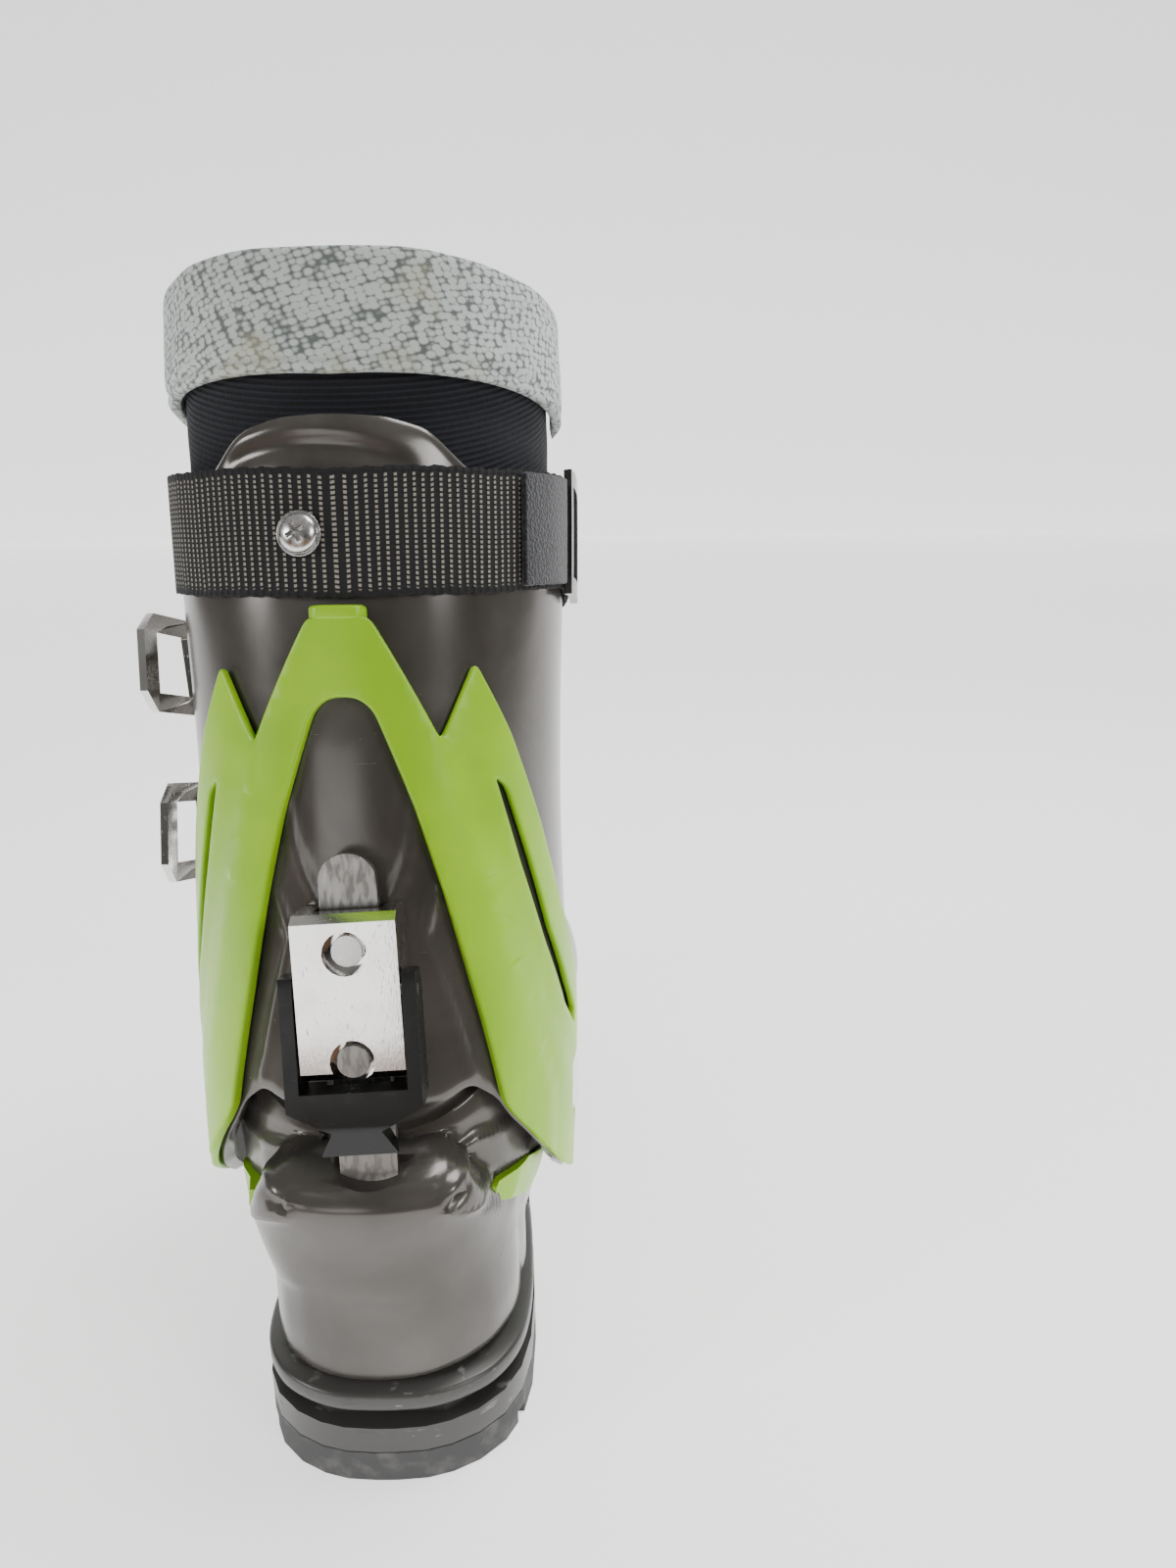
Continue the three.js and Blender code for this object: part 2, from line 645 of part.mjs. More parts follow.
function flapRise(angle) {
  return FLAP_RISE * THREE.MathUtils.smoothstep(angle, FLAP_START, FLAP_OVER);
}

// How far out the outermost layer of the cuff is, for an angle between -180 and 180.
function cuffOutside(angle) {
  if (angle > FLAP_START) return flapRise(angle);
  return angle < -149.9 ? FLAP_RISE : 0;
}

function cuffForm(offset) {
  const angles = [...range(-180, -150, 6), -149.5, ...range(-144, 174, 6)];
  const heights = range(-30, 210, 12);
  const rings = heights.map((t) => angles.map((a) => legPoint(a, t, cuffOutside(a) + offset)));
  return solid(loft(rings));
}

function addCuff() {
  const angles = range(LATERAL_END, MEDIAL_END, 8.9);
  const wall = legWall(
    angles,
    (a) => byAngle(CUFF_BOTTOM, a),
    (a) => byAngle(CUFF_TOP, a),
    (a) => flapRise(a) - CUFF_WALL,
    (a) => flapRise(a),
    5,
  );
  let cuff = solid(wall).subtract(solid(acrossRod(PIVOT_SHANK + GAP, 90, PIVOT.y, PIVOT.z, 18)));
  for (const hole of [...bracketScrews(GAP), strapScrew(GAP)]) cuff = cuff.subtract(solid(hole));
  addPiece("cuff_shell", geometryOf(cuff), MATERIAL.shell);

  for (const [name, side] of [
    ["pivot_rivet_medial", 1],
    ["pivot_rivet_lateral", -1],
  ]) {
    const seat = legPoint(90 * side, 0, 0.5);
    const rivet = fastener(seat, new THREE.Vector3(side, 0, 0), PIVOT_SHANK, 11.6, PIVOT_HEAD, 2.6);
    addPiece(name, rivet, MATERIAL.black);
  }
}

// The frame drawn on the unrolled cuff: right-hand half as [angle, height].
const FRAME_EDGE = [
  [3, 139],
  [6.5, 138.5],
  [23.2, 106.5],
  [33.8, 127.7],
  [46, 109],
  [59, 84],
  [70, 60.5],
  [84, 42],
  [97, 30],
  [107, 14],
  [110, -4],
  [107, -19],
  [98, -26],
  [88, -26.5],
  [72, -19.5],
  [57, -9.5],
  [43.4, 1.5],
  [39, 6.4],
  [30, 37.6],
  [23.3, 63.5],
  [16, 88],
  [6.3, 114.7],
  [2.6, 118],
];
const FRAME_SLOT = [
  [40, 96.7],
  [44, 94],
  [52.7, 74.5],
  [62.5, 52],
  [73, 35],
  [82, 25],
  [80, 20.5],
  [70, 29],
  [59, 48.7],
  [49, 72],
];
const degreesToArc = rad(1) * LEG_RADIUS;

// Bends a flat piece, drawn as arc length round the leg, height and offset, on to the leg.
function wrapOnLeg(geometry, maxEdge) {
  const fine = new TessellateModifier(maxEdge, 30).modify(geometry);
  const at = fine.attributes.position;
  for (let i = 0; i < at.count; i++) {
    const p = legPoint(at.getX(i) / degreesToArc, at.getY(i), at.getZ(i));
    at.setXYZ(i, p.x, p.y, p.z);
  }
  return fine;
}

function addFrame() {
  const flat = ([angle, height]) => new THREE.Vector2(angle * degreesToArc, height);
  const mirrored = (list) => list.map(([a, t]) => [-a, t]).reverse();
  const outline = new THREE.Shape([...FRAME_EDGE, ...mirrored(FRAME_EDGE)].map(flat).reverse());
  for (const slot of [FRAME_SLOT, mirrored(FRAME_SLOT)])
    outline.holes.push(new THREE.Path(slot.map(flat)));
  for (const side of [1, -1]) {
    const middle = 90 * side * degreesToArc;
    const eye = new THREE.Path().absarc(middle, 0, PIVOT_HEAD + 1.6, 0, 2 * Math.PI);
    outline.holes.push(new THREE.Path(eye.getPoints(8).slice(1)));
  }
  const slab = new THREE.ExtrudeGeometry(outline, { depth: EXO_THICK, bevelEnabled: false });
  addPiece("cuff_exoskeleton", wrapOnLeg(slab.translate(0, 0, GAP + 0.4), 19), MATERIAL.lime);
}

// ---------------------------------------------------------------- ski/walk lock
const LOCK = {
  bracketLow: 35.7,
  bracketHigh: 80.5,
  bracketHalf: 13.5,
  bracketOut: 11,
  channelHalf: BAR_WIDTH / 2 + 1.1,
  channelOut: 3.6,
  pocketFloor: 4.9,
  pocketRadius: 5.8,
  lowerPocket: 42.3,
  upperPocket: 70.5,
  leverPin: 59.8,
  leverPinOut: 7.3,
  leverPinRadius: 1.7,
  leverLow: 17.5,
  leverHalf: 17.6,
  leverOut: 13,
  crossHigh: 35,
  armWide: 9,
  lockPinRadius: 2.6,
  lockPinTip: 2,
  lockPinHead: 4.4,
};
const outward = (out) => -out; // the lock is drawn with -Y to the back

function bracketScrews(clearance) {
  return [1, -1].map((side) => {
    const across = side * 11.1;
    const seat = new THREE.Vector3(across, 6.6, 49).applyMatrix4(barTurn);
    return fastener(seat, barOut.clone().negate(), 1.6 + clearance, 11, 2.9 + clearance, 1.4);
  });
}

function lockRod(radius, up, out0, out1, sides = 20) {
  const from = new THREE.Vector3(0, outward(out0), up);
  const to = new THREE.Vector3(0, outward(out1), up);
  return rod(radius, from, to, sides);
}

function sideRod(radius, half, out, up, sides = 12) {
  const from = new THREE.Vector3(-half, outward(out), up);
  const to = new THREE.Vector3(half, outward(out), up);
  return rod(radius, from, to, sides);
}

function addLock() {
  const L = LOCK;
  const bodies = {};

  // Bar: a flat strip with a rounded top and a knuckle at its foot.
  const strip = new THREE.Shape()
    .moveTo(-BAR_WIDTH / 2, 0)
    .lineTo(BAR_WIDTH / 2, 0)
    .lineTo(BAR_WIDTH / 2, BAR_LENGTH - BAR_WIDTH / 2)
    .absarc(0, BAR_LENGTH - BAR_WIDTH / 2, BAR_WIDTH / 2, 0, Math.PI);
  const rolled = { depth: BAR_THICK, bevelEnabled: false, curveSegments: 10 };
  const strap = new THREE.ExtrudeGeometry(strip, rolled)
    .rotateX(Math.PI / 2)
    .translate(0, BAR_THICK / 2, 0);
  bodies.walk_bar = solid(strap)
    .add(solid(sideRod(KNUCKLE, BAR_WIDTH / 2, 0, 0, 18)))
    .subtract(solid(sideRod(BAR_PIN + 0.3, 20, 0, 0, 14)))
    .subtract(solid(lockRod(L.lockPinRadius + 0.5, L.lowerPocket, -9, 9, 16)));

  // Bracket: a block over the bar with two round pockets.
  const block = new THREE.Shape()
    .moveTo(L.bracketLow + 1.5, outward(-9))
    .lineTo(L.bracketLow + 1.5, outward(8))
    .lineTo(L.bracketLow + 4, outward(L.bracketOut))
    .lineTo(L.bracketHigh - 2, outward(L.bracketOut))
    .lineTo(L.bracketHigh, outward(L.bracketOut - 3))
    .lineTo(L.bracketHigh, outward(-9));
  const milled = { depth: 2 * L.bracketHalf, bevelEnabled: false };
  const housing = new THREE.ExtrudeGeometry(block, milled)
    .translate(0, 0, -L.bracketHalf)
    .rotateY(-Math.PI / 2);
  const channel = box(-L.channelHalf, L.channelHalf, outward(L.channelOut), 20, 0, 200);
  bodies.walk_bracket = solid(housing)
    .subtract(solid(channel))
    .subtract(solid(lockRod(L.pocketRadius, L.lowerPocket, L.pocketFloor, 20)))
    .subtract(solid(lockRod(L.pocketRadius, L.upperPocket, L.pocketFloor, 20)))
    .subtract(solid(lockRod(L.lockPinRadius + GAP, L.lowerPocket, 0, 20, 16)))
    .subtract(solid(lockRod(2.3, L.upperPocket, 0, 20, 12)))
    .subtract(solid(sideRod(L.leverPinRadius + 0.15, 30, L.leverPinOut, L.leverPin)));

  // Lever: two arms joined by a cross-piece below the bracket.
  const arm = new THREE.Shape()
    .moveTo(L.leverPin + 5, outward(L.leverPinOut - 3.5))
    .lineTo(L.leverPin + 5, outward(L.leverPinOut + 3.5))
    .lineTo(L.leverPin + 1, outward(L.leverOut - 1.5))
    .lineTo(L.leverLow + 9, outward(L.leverOut))
    .lineTo(L.leverLow, outward(L.leverOut - 3))
    .lineTo(L.leverLow + 2, outward(4.2))
    .lineTo(L.leverLow + 12, outward(2.6))
    .lineTo(L.leverPin, outward(1.6));
  const moulded = { depth: 2 * L.leverHalf, bevelEnabled: false };
  const lever = new THREE.ExtrudeGeometry(arm, moulded)
    .translate(0, 0, -L.leverHalf)
    .rotateY(-Math.PI / 2);
  const inside = L.bracketHalf + 0.4;
  const chamfer = (side) =>
    box(-8, 8, -40, 40, -20, 12)
      .rotateY(rad(-28 * side))
      .translate(side * (L.leverHalf + 1.5), 0, L.leverLow);
  bodies.walk_lever = solid(lever)
    .subtract(solid(box(-inside, inside, -40, 40, L.crossHigh, 200)))
    .subtract(solid(box(-9, 9, outward(5.4), 40, -10, 200)))
    .subtract(solid(sideRod(L.leverPinRadius + 0.3, 30, L.leverPinOut, L.leverPin)))
    .subtract(solid(chamfer(1)))
    .subtract(solid(chamfer(-1)));

  const leverPin = sideRod(L.leverPinRadius, L.leverHalf - 0.2, L.leverPinOut, L.leverPin);
  bodies.walk_lever_pin = solid(leverPin);
  bodies.lock_pin = solid(lockRod(L.lockPinRadius, L.lowerPocket, L.lockPinTip, 9.6)).add(
    solid(lockRod(L.lockPinHead, L.lowerPocket, 8.6, 10.2)),
  );
  bodies.walk_screw = solid(lockRod(2, L.upperPocket, L.channelOut + 0.2, 6)).add(
    solid(lockRod(4.2, L.upperPocket, L.pocketFloor + GAP, 7.8)),
  );
  const tone = { walk_lever: MATERIAL.black, walk_bracket: MATERIAL.alloy };
  const onCuff = cuffForm(GAP + 0.45);
  for (const [name, body] of Object.entries(bodies)) {
    const placed = solid(inBarFrame(geometryOf(body)));
    let piece = placed;
    if (name === "walk_bracket") {
      piece = placed.subtract(onCuff);
      for (const screw of bracketScrews(0.25)) piece = piece.subtract(solid(screw));
    }
    addPiece(name, geometryOf(piece), tone[name] ?? MATERIAL.steel);
  }
  bracketScrews(0).forEach((screw, i) =>
    addPiece(["bracket_screw_medial", "bracket_screw_lateral"][i], screw, MATERIAL.steel),
  );
}

// ---------------------------------------------------------------- power strap
const STRAP_MIDDLE = [
  [0, 160],
  [40, 163],
  [80, 170],
  [120, 168],
  [180, 160],
];
const STRAP_SCREW = { angle: -7, head: 5.3, washer: 5.9 };

function strapScrew(clearance) {
  const inner = legPoint(STRAP_SCREW.angle, 160, STRAP_THICK + GAP + 1.6);
  const direction = legNormal(STRAP_SCREW.angle, 160);
  const length = STRAP_THICK + CUFF_WALL + GAP + 1.6;
  return fastener(inner, direction, 2.1 + clearance, length, STRAP_SCREW.head, 3.1);
}

function addStrap() {
  const middle = (a) => byAngle(STRAP_MIDDLE, a);
  const low = (a) => middle(a) - STRAP_WIDTH / 2;
  const high = (a) => middle(a) + STRAP_WIDTH / 2;
  const rest = (a) => cuffOutside(a) + GAP;
  const band = solid(legTube(low, high, rest, (a) => rest(a) + STRAP_THICK, 2, 9));
  addPiece("power_strap", geometryOf(band.subtract(solid(strapScrew(0.4)))), MATERIAL.webbing);

  const over = GAP + STRAP_THICK + GAP;
  const patch = legWall(
    range(50, 74, 6),
    (a) => low(a) + 1.5,
    (a) => high(a) - 1.5,
    () => over,
    () => over + 2,
    4,
  );
  addPiece("strap_velcro", patch, MATERIAL.velcro);

  const edge = 3;
  const ring = legWall(
    range(76.5, 92, 5),
    (a) => low(a) - 2,
    (a) => high(a) + 2,
    () => over,
    () => over + 2.4,
    4,
  );
  const gap = legWall(
    range(79, 89, 5),
    (a) => low(a) + edge,
    (a) => high(a) - edge,
    () => over - 3,
    () => over + 6,
    4,
  );
  addPiece("strap_ring", geometryOf(solid(ring).subtract(solid(gap))), MATERIAL.smoke);

  const washerSeat = legPoint(STRAP_SCREW.angle, 160, STRAP_THICK + GAP + 0.3);
  const direction = legNormal(STRAP_SCREW.angle, 160);
  const outFrom = (distance) => washerSeat.clone().addScaledVector(direction, distance);
  const bore = rod(2.5, outFrom(-2), outFrom(3), 14);
  const disc = rod(STRAP_SCREW.washer, outFrom(0), outFrom(1), 24);
  addPiece("strap_washer", geometryOf(solid(disc).subtract(solid(bore))), MATERIAL.steel);
  addPiece("strap_screw", strapScrew(0), MATERIAL.steel);
}

// ---------------------------------------------------------------- leg liner
const LINER_OUTER = -(CUFF_WALL + 0.75);
const LINER_BOTTOM = [
  [0, 38],
  [40, 46],
  [70, 58],
  [90, 68],
  [115, 86],
  [180, 92],
];
const LINER_TOP = [
  [0, 232],
  [60, 234],
  [90, 236],
  [150, 240],
  [180, 240],
];
const LINER_OPENING = 146; // the tongue fills the shin side from here
const PAD_THICK = 4.4;

function addLegLiner() {
  const low = (a) => byAngle(LINER_BOTTOM, a > 180 ? 360 - a : a);
  const high = (a) => byAngle(LINER_TOP, a > 180 ? 360 - a : a);
  const outer = () => LINER_OUTER;
  const inner = () => LINER_OUTER - LINER_WALL;
  const open = LINER_OPENING;
  addPiece("liner_leg", legWall(range(-open, open, 9), low, high, inner, outer, 4), MATERIAL.fabric);
  const tongue = legWall(range(open + 0.4, 359.6 - open, 9), low, (a) => high(a) + 8, inner, outer, 4);
  addPiece("liner_tongue", tongue, MATERIAL.fabric);
  const padLow = (a) => THREE.MathUtils.mapLinear(Math.abs(a), 0, 104, 201, 207);
  const pad = legWall(
    range(-104, 104, 13),
    padLow,
    (a) => high(a) + 1.5,
    () => LINER_OUTER + 0.6,
    () => LINER_OUTER + 0.6 + PAD_THICK,
    3,
  );
  addPiece("liner_collar_pad", pad, MATERIAL.mesh);
}

// ---------------------------------------------------------------- buckles
// A buckle is drawn flat: +X from its lever pin to the lever's tail, +Y across, +Z outward, and is
// then bent round the boot. The bail reaches the other way, to a ladder on the overlapping flap.
const BUCKLE = {
  pinUp: 6,
  pinRadius: 1.4,
  earHalf: 11,
  earThick: 2.6,
  plateTop: 2.5,
  cheekHalf: 7.6,
  cheekThick: 2.8,
  leverLength: 46,
  leverLow: 7.7,
  leverThick: 2.2,
  leverHalf: 15.5,
  bailAt: 9.5,
  bailUp: 5.5,
  bailHalf: 13.4,
  wire: 1.35,
  reach: 36,
  toothPitch: 6.4,
  toothHigh: 3,
  ladderHalf: 8,
};

function bentPlace(place, x, y, z) {
  const radius = x > 0 ? place.tailRadius : place.radius;
  const turn = x / radius;
  return place.origin
    .clone()
    .addScaledVector(place.along, (radius + z) * Math.sin(turn))
    .addScaledVector(place.across, y)
    .addScaledVector(place.out, (radius + z) * Math.cos(turn) - radius);
}

function bend(geometry, place, maxEdge = 16, lift = () => 0) {
  const loose = geometry.index ? geometry.toNonIndexed() : geometry;
  const fine = new TessellateModifier(maxEdge, 8).modify(loose);
  const at = fine.attributes.position;
  for (let i = 0; i < at.count; i++) {
    const x = at.getX(i);
    const p = bentPlace(place, x, at.getY(i), at.getZ(i) + lift(x));
    at.setXYZ(i, p.x, p.y, p.z);
  }
  return fine;
}

function pinAt(place, radius, x, z, half, sides = 12) {
  return rod(radius, bentPlace(place, x, -half, z), bentPlace(place, x, half, z), sides);
}

function buckleBase(place, seat) {
  const B = BUCKLE;
  let base = solid(bend(box(-8, 15, -B.earHalf, B.earHalf, -5, B.plateTop), place));
  for (const side of [1, -1]) {
    const [from, to] = [side * (B.earHalf - B.earThick), side * B.earHalf].sort((a, b) => a - b);
    base = base.add(solid(bend(box(-4.5, 4.5, from, to, B.plateTop - 1, 9), place, 20)));
  }
  const rivetHole = rod(1.9, bentPlace(place, 10, 0, -20), bentPlace(place, 10, 0, 20));
  return base
    .subtract(seat)
    .subtract(solid(pinAt(place, B.pinRadius + 0.15, 0, B.pinUp, 30)))
    .subtract(solid(rivetHole));
}

function buckleLever(place) {
  const B = BUCKLE;
  const outline = new THREE.Shape()
    .moveTo(6, -B.cheekHalf)
    .lineTo(16, -B.cheekHalf)
    .lineTo(24, -B.leverHalf)
    .lineTo(B.leverLength - 5, -B.leverHalf)
    .lineTo(B.leverLength, -B.leverHalf + 6)
    .lineTo(B.leverLength, B.leverHalf - 6)
    .lineTo(B.leverLength - 5, B.leverHalf)
    .lineTo(24, B.leverHalf)
    .lineTo(16, B.cheekHalf)
    .lineTo(6, B.cheekHalf);
  const window_ = new THREE.Path()
    .moveTo(25, -B.leverHalf + 6)
    .lineTo(27, B.leverHalf - 6)
    .lineTo(B.leverLength - 6, B.leverHalf - 6)
    .lineTo(B.leverLength - 6, -B.leverHalf + 6);
  outline.holes.push(window_);
  const rise = (x) => place.rise * Math.max(0, (x - 10) / (B.leverLength - 10)) ** 1.5;
  const pressed = { depth: B.leverThick, bevelEnabled: false };
  const plate = new THREE.ExtrudeGeometry(outline, pressed).translate(0, 0, B.leverLow);
  let lever = solid(bend(plate, place, 21, rise));
  for (const side of [1, -1]) {
    const [from, to] = [side * (B.cheekHalf - B.cheekThick), side * B.cheekHalf].sort((a, b) => a - b);
    const barrel = new THREE.CylinderGeometry(3.3, 3.3, B.cheekThick, 10);
    barrel.translate(0, (from + to) / 2, B.pinUp);
    lever = lever
      .add(solid(bend(box(0, 16, from, to, B.bailUp - 2.2, B.leverLow + 1), place, 20)))
      .add(solid(bend(barrel, place, 30)));
  }
  return lever
    .subtract(solid(pinAt(place, B.pinRadius + 0.15, 0, B.pinUp, 30)))
    .subtract(solid(pinAt(place, B.wire + 0.15, B.bailAt, B.bailUp, 30, 10)));
}

function buckleBail(place) {
  const B = BUCKLE;
  const end = place.bailEnd;
  const half = [
    [B.bailAt, B.cheekHalf - B.cheekThick + 0.2, B.bailUp],
    [B.bailAt, B.bailHalf - 1.6, B.bailUp],
    [B.bailAt - 1.6, B.bailHalf, B.bailUp],
    [0, B.bailHalf, B.bailUp + end * 0.1],
    [-B.reach * 0.5, B.bailHalf - 0.6, B.bailUp + end * 0.6],
    [-B.reach + 2, B.bailHalf - 1.4, B.bailUp + end],
    [-B.reach, B.bailHalf - 3, B.bailUp + end],
  ];
  const points = [...half, ...half.map(([x, y, z]) => [x, -y, z]).reverse()];
  const placed = points.map(([x, y, z]) => bentPlace(place, x, y, z));
  const path = new THREE.CatmullRomCurve3(placed, false, "catmullrom", 0.35);
  const circle = new THREE.Path().absarc(0, 0, B.wire, 0, 2 * Math.PI);
  const section = new THREE.Shape(circle.getPoints(3).slice(1));
  return new THREE.ExtrudeGeometry(section, { steps: 30, extrudePath: path, bevelEnabled: false });
}

function buckleLadder(place, seat) {
  const B = BUCKLE;
  const z = place.ladderUp;
  const profile = [new THREE.Vector2(-B.reach - 16, z - 9), new THREE.Vector2(-B.reach - 16, z)];
  for (let i = 2; i >= -2; i--) {
    const x = -B.reach - B.wire - 0.5 - i * B.toothPitch;
    const top = z + B.toothHigh;
    profile.push(new THREE.Vector2(x - 2.6, z), new THREE.Vector2(x - 1.4, top));
    profile.push(new THREE.Vector2(x, top), new THREE.Vector2(x, z));
  }
  profile.push(new THREE.Vector2(-B.reach + 17, z), new THREE.Vector2(-B.reach + 17, z - 9));
  const formed = { depth: 2 * B.ladderHalf, bevelEnabled: false };
  const strip = new THREE.ExtrudeGeometry(new THREE.Shape(profile), formed)
    .translate(0, 0, -B.ladderHalf)
    .rotateX(Math.PI / 2);
  return solid(bend(strip, place, 16)).subtract(seat);
}

function addBuckle(name, place, seat) {
  const B = BUCKLE;
  addPiece(name + "_base", geometryOf(biggest(buckleBase(place, seat))), MATERIAL.alloy);
  addPiece(name + "_lever", geometryOf(buckleLever(place)), MATERIAL.alloy);
  addPiece(name + "_lever_pin", pinAt(place, B.pinRadius, 0, B.pinUp, B.earHalf + 0.4), MATERIAL.steel);
  addPiece(name + "_bail", buckleBail(place), MATERIAL.steel);
  addPiece(name + "_ladder", geometryOf(biggest(buckleLadder(place, seat))), MATERIAL.alloy);
  const out = bentPlace(place, 10, 0, 20).sub(bentPlace(place, 10, 0, 0)).normalize();
  const rivet = fastener(bentPlace(place, 10, 0, B.plateTop + 0.2), out, 1.6, 2.2, 2.6, 0.9);
  addPiece(name + "_rivet", geometryOf(solid(rivet).subtract(seat)), MATERIAL.steel);
}

function cuffBucklePlace(angle, height, extra) {
  const along = legPoint(angle + 1, height).sub(legPoint(angle - 1, height)).normalize();
  const out = legNormal(angle, height);
  return { origin: legPoint(angle, height), along, out, across: out.clone().cross(along), ...extra };
}

// The foot buckles are placed by looking at the lower shell from outside.
const footSkin = new THREE.Mesh(loft(footRings(0)));

function onFoot(y, z) {
  const eye = new THREE.Raycaster(new THREE.Vector3(-200, y, z), new THREE.Vector3(1, 0, 0));
  return eye.intersectObject(footSkin)[0].point;
}

function footBucklePlace(pin, tail, extra) {
  const origin = onFoot(...pin);
  const along = onFoot(...tail).sub(origin).normalize();
  const [up, side] = [onFoot(pin[0], pin[1] + 2), onFoot(pin[0] + 2, pin[1])];
  const normal = up.sub(origin).cross(side.sub(origin)).normalize();
  const across = normal.clone().cross(along).normalize();
  const out = along.clone().cross(across);
  return { origin: origin.addScaledVector(out, 2.4), along, across, out, ...extra };
}

// The cuff buckles wrap round the leg; the foot buckles wrap over the instep and end nearly straight.
function addBuckles() {
  const onCuff = cuffForm(GAP + 0.1);
  const cuffBend = { bailEnd: 3.3, ladderUp: 7 };
  const upper = cuffBucklePlace(-126, 133, { ...cuffBend, radius: 58, tailRadius: 58, rise: 9 });
  const middle = cuffBucklePlace(-126, 80, { ...cuffBend, radius: 56, tailRadius: 56, rise: 7 });
  addBuckle("upper_buckle", upper, onCuff);
  addBuckle("middle_buckle", middle, onCuff);

  const underFlap = solid(box(-26.5, 36.5, 108.5, 214.5, 62, 160));
  const onShell = footForm(-GAP).add(footForm(-GAP - FLAP_THICK - GAP).intersect(underFlap));
  const footBend = { bailEnd: 0.4, ladderUp: 4, tailRadius: 900 };
  const instep = footBucklePlace([97, 87], [68, 49], { ...footBend, radius: 44, rise: 8 });
  const toe = footBucklePlace([168, 66], [140, 42], { ...footBend, radius: 40, rise: 4 });
  addBuckle("instep_buckle", instep, onShell);
  addBuckle("toe_buckle", toe, onShell);
}

addSole();
addLowerShell();
addInstepFlap();
addFootLiner();
addCuff();
addFrame();
addLock();
addStrap();
addLegLiner();
addBuckles();

export default boot;
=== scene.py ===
import math

import bpy
import numpy as np
from mathutils import Matrix, Vector


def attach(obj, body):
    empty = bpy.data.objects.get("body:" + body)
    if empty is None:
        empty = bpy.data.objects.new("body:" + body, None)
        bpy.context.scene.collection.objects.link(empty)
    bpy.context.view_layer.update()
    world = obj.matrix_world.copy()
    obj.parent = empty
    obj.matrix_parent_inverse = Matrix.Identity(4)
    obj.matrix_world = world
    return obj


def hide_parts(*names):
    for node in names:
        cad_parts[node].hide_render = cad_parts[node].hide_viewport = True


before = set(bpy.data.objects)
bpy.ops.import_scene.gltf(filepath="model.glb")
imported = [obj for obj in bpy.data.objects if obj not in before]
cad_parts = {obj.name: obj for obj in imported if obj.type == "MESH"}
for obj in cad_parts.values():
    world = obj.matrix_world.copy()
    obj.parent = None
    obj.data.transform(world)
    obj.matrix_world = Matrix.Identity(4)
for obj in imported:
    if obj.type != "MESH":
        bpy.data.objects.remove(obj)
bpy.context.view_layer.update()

# ---------------------------------------------------------------- studio
# The boot stands on a pale floor that runs up into a white wall of light. The camera stands close
# behind the heel at knee height and looks down a little, so the sole looks small and the cuff big.
MM = 0.001
CAMERA_PLACE = Vector((0.0585, -0.290, 0.275))
CAMERA_DOWN = math.radians(16)
CAMERA_ROLL = math.radians(-0.7)
LENS = 26.0

bpy.ops.object.select_all(action="DESELECT")
bpy.ops.object.camera_add(location=CAMERA_PLACE, rotation=(math.pi / 2 - CAMERA_DOWN, 0, 0))
camera = bpy.context.object
camera.rotation_mode = "XYZ"
camera.rotation_euler = (
    camera.rotation_euler.to_matrix() @ Matrix.Rotation(CAMERA_ROLL, 3, "Z")
).to_euler()
camera.data.lens = LENS
camera.data.sensor_width = 36.0
camera.data.clip_start = 0.01
bpy.context.scene.camera = camera

for name, place, aim, energy, size in [
    ("light_top", (0.45, 0.25, 1.30), (0, 0.05, 0.15), 12.0, 0.6),
    ("light_left", (-1.05, -0.55, 0.60), (0, 0, 0.18), 5.5, 0.35),
    ("light_right", (0.95, -0.85, 0.75), (0, 0, 0.16), 5.5, 0.35),
    ("light_low", (-0.35, -1.10, 0.18), (0, 0, 0.10), 1.2, 0.4),
]:
    bpy.ops.object.light_add(type="AREA", location=place)
    lamp = bpy.context.object
    lamp.name = name
    lamp.data.energy = energy
    lamp.data.size = size
    lamp.rotation_euler = (Vector(aim) - Vector(place)).to_track_quat("-Z", "Y").to_euler()

world = bpy.data.worlds.new("studio")
bpy.context.scene.world = world
world.use_nodes = True
background = world.node_tree.nodes["Background"]
ways = world.node_tree.nodes.new("ShaderNodeTexCoord")
parts = world.node_tree.nodes.new("ShaderNodeSeparateXYZ")
climb = world.node_tree.nodes.new("ShaderNodeValToRGB")
climb.color_ramp.elements[0].position = 0.02
climb.color_ramp.elements[0].color = (0.05, 0.045, 0.04, 1)
climb.color_ramp.elements[1].position = 0.75
climb.color_ramp.elements[1].color = (1.0, 0.985, 0.96, 1)
world.node_tree.links.new(ways.outputs["Generated"], parts.inputs["Vector"])
world.node_tree.links.new(parts.outputs["Z"], climb.inputs["Fac"])
world.node_tree.links.new(climb.outputs["Color"], background.inputs["Color"])
background.inputs["Strength"].default_value = 0.36


class Wire:
    """A socket in a finish. Sums and products of wires and numbers add Math nodes."""

    def __init__(self, finish, socket):
        self.finish = finish
        self.socket = socket

    def maths(self, operation, first, second):
        return self.finish.node("ShaderNodeMath", {"operation": operation}, {0: first, 1: second})

    def __add__(self, other):
        return self.maths("ADD", self, other)

    def __radd__(self, other):
        return self.maths("ADD", other, self)

    def __sub__(self, other):
        return self.maths("SUBTRACT", self, other)

    def __rsub__(self, other):
        return self.maths("SUBTRACT", other, self)

    def __mul__(self, other):
        return self.maths("MULTIPLY", self, other)

    def __rmul__(self, other):
        return self.maths("MULTIPLY", other, self)

    def __gt__(self, other):
        return self.maths("GREATER_THAN", self, other)


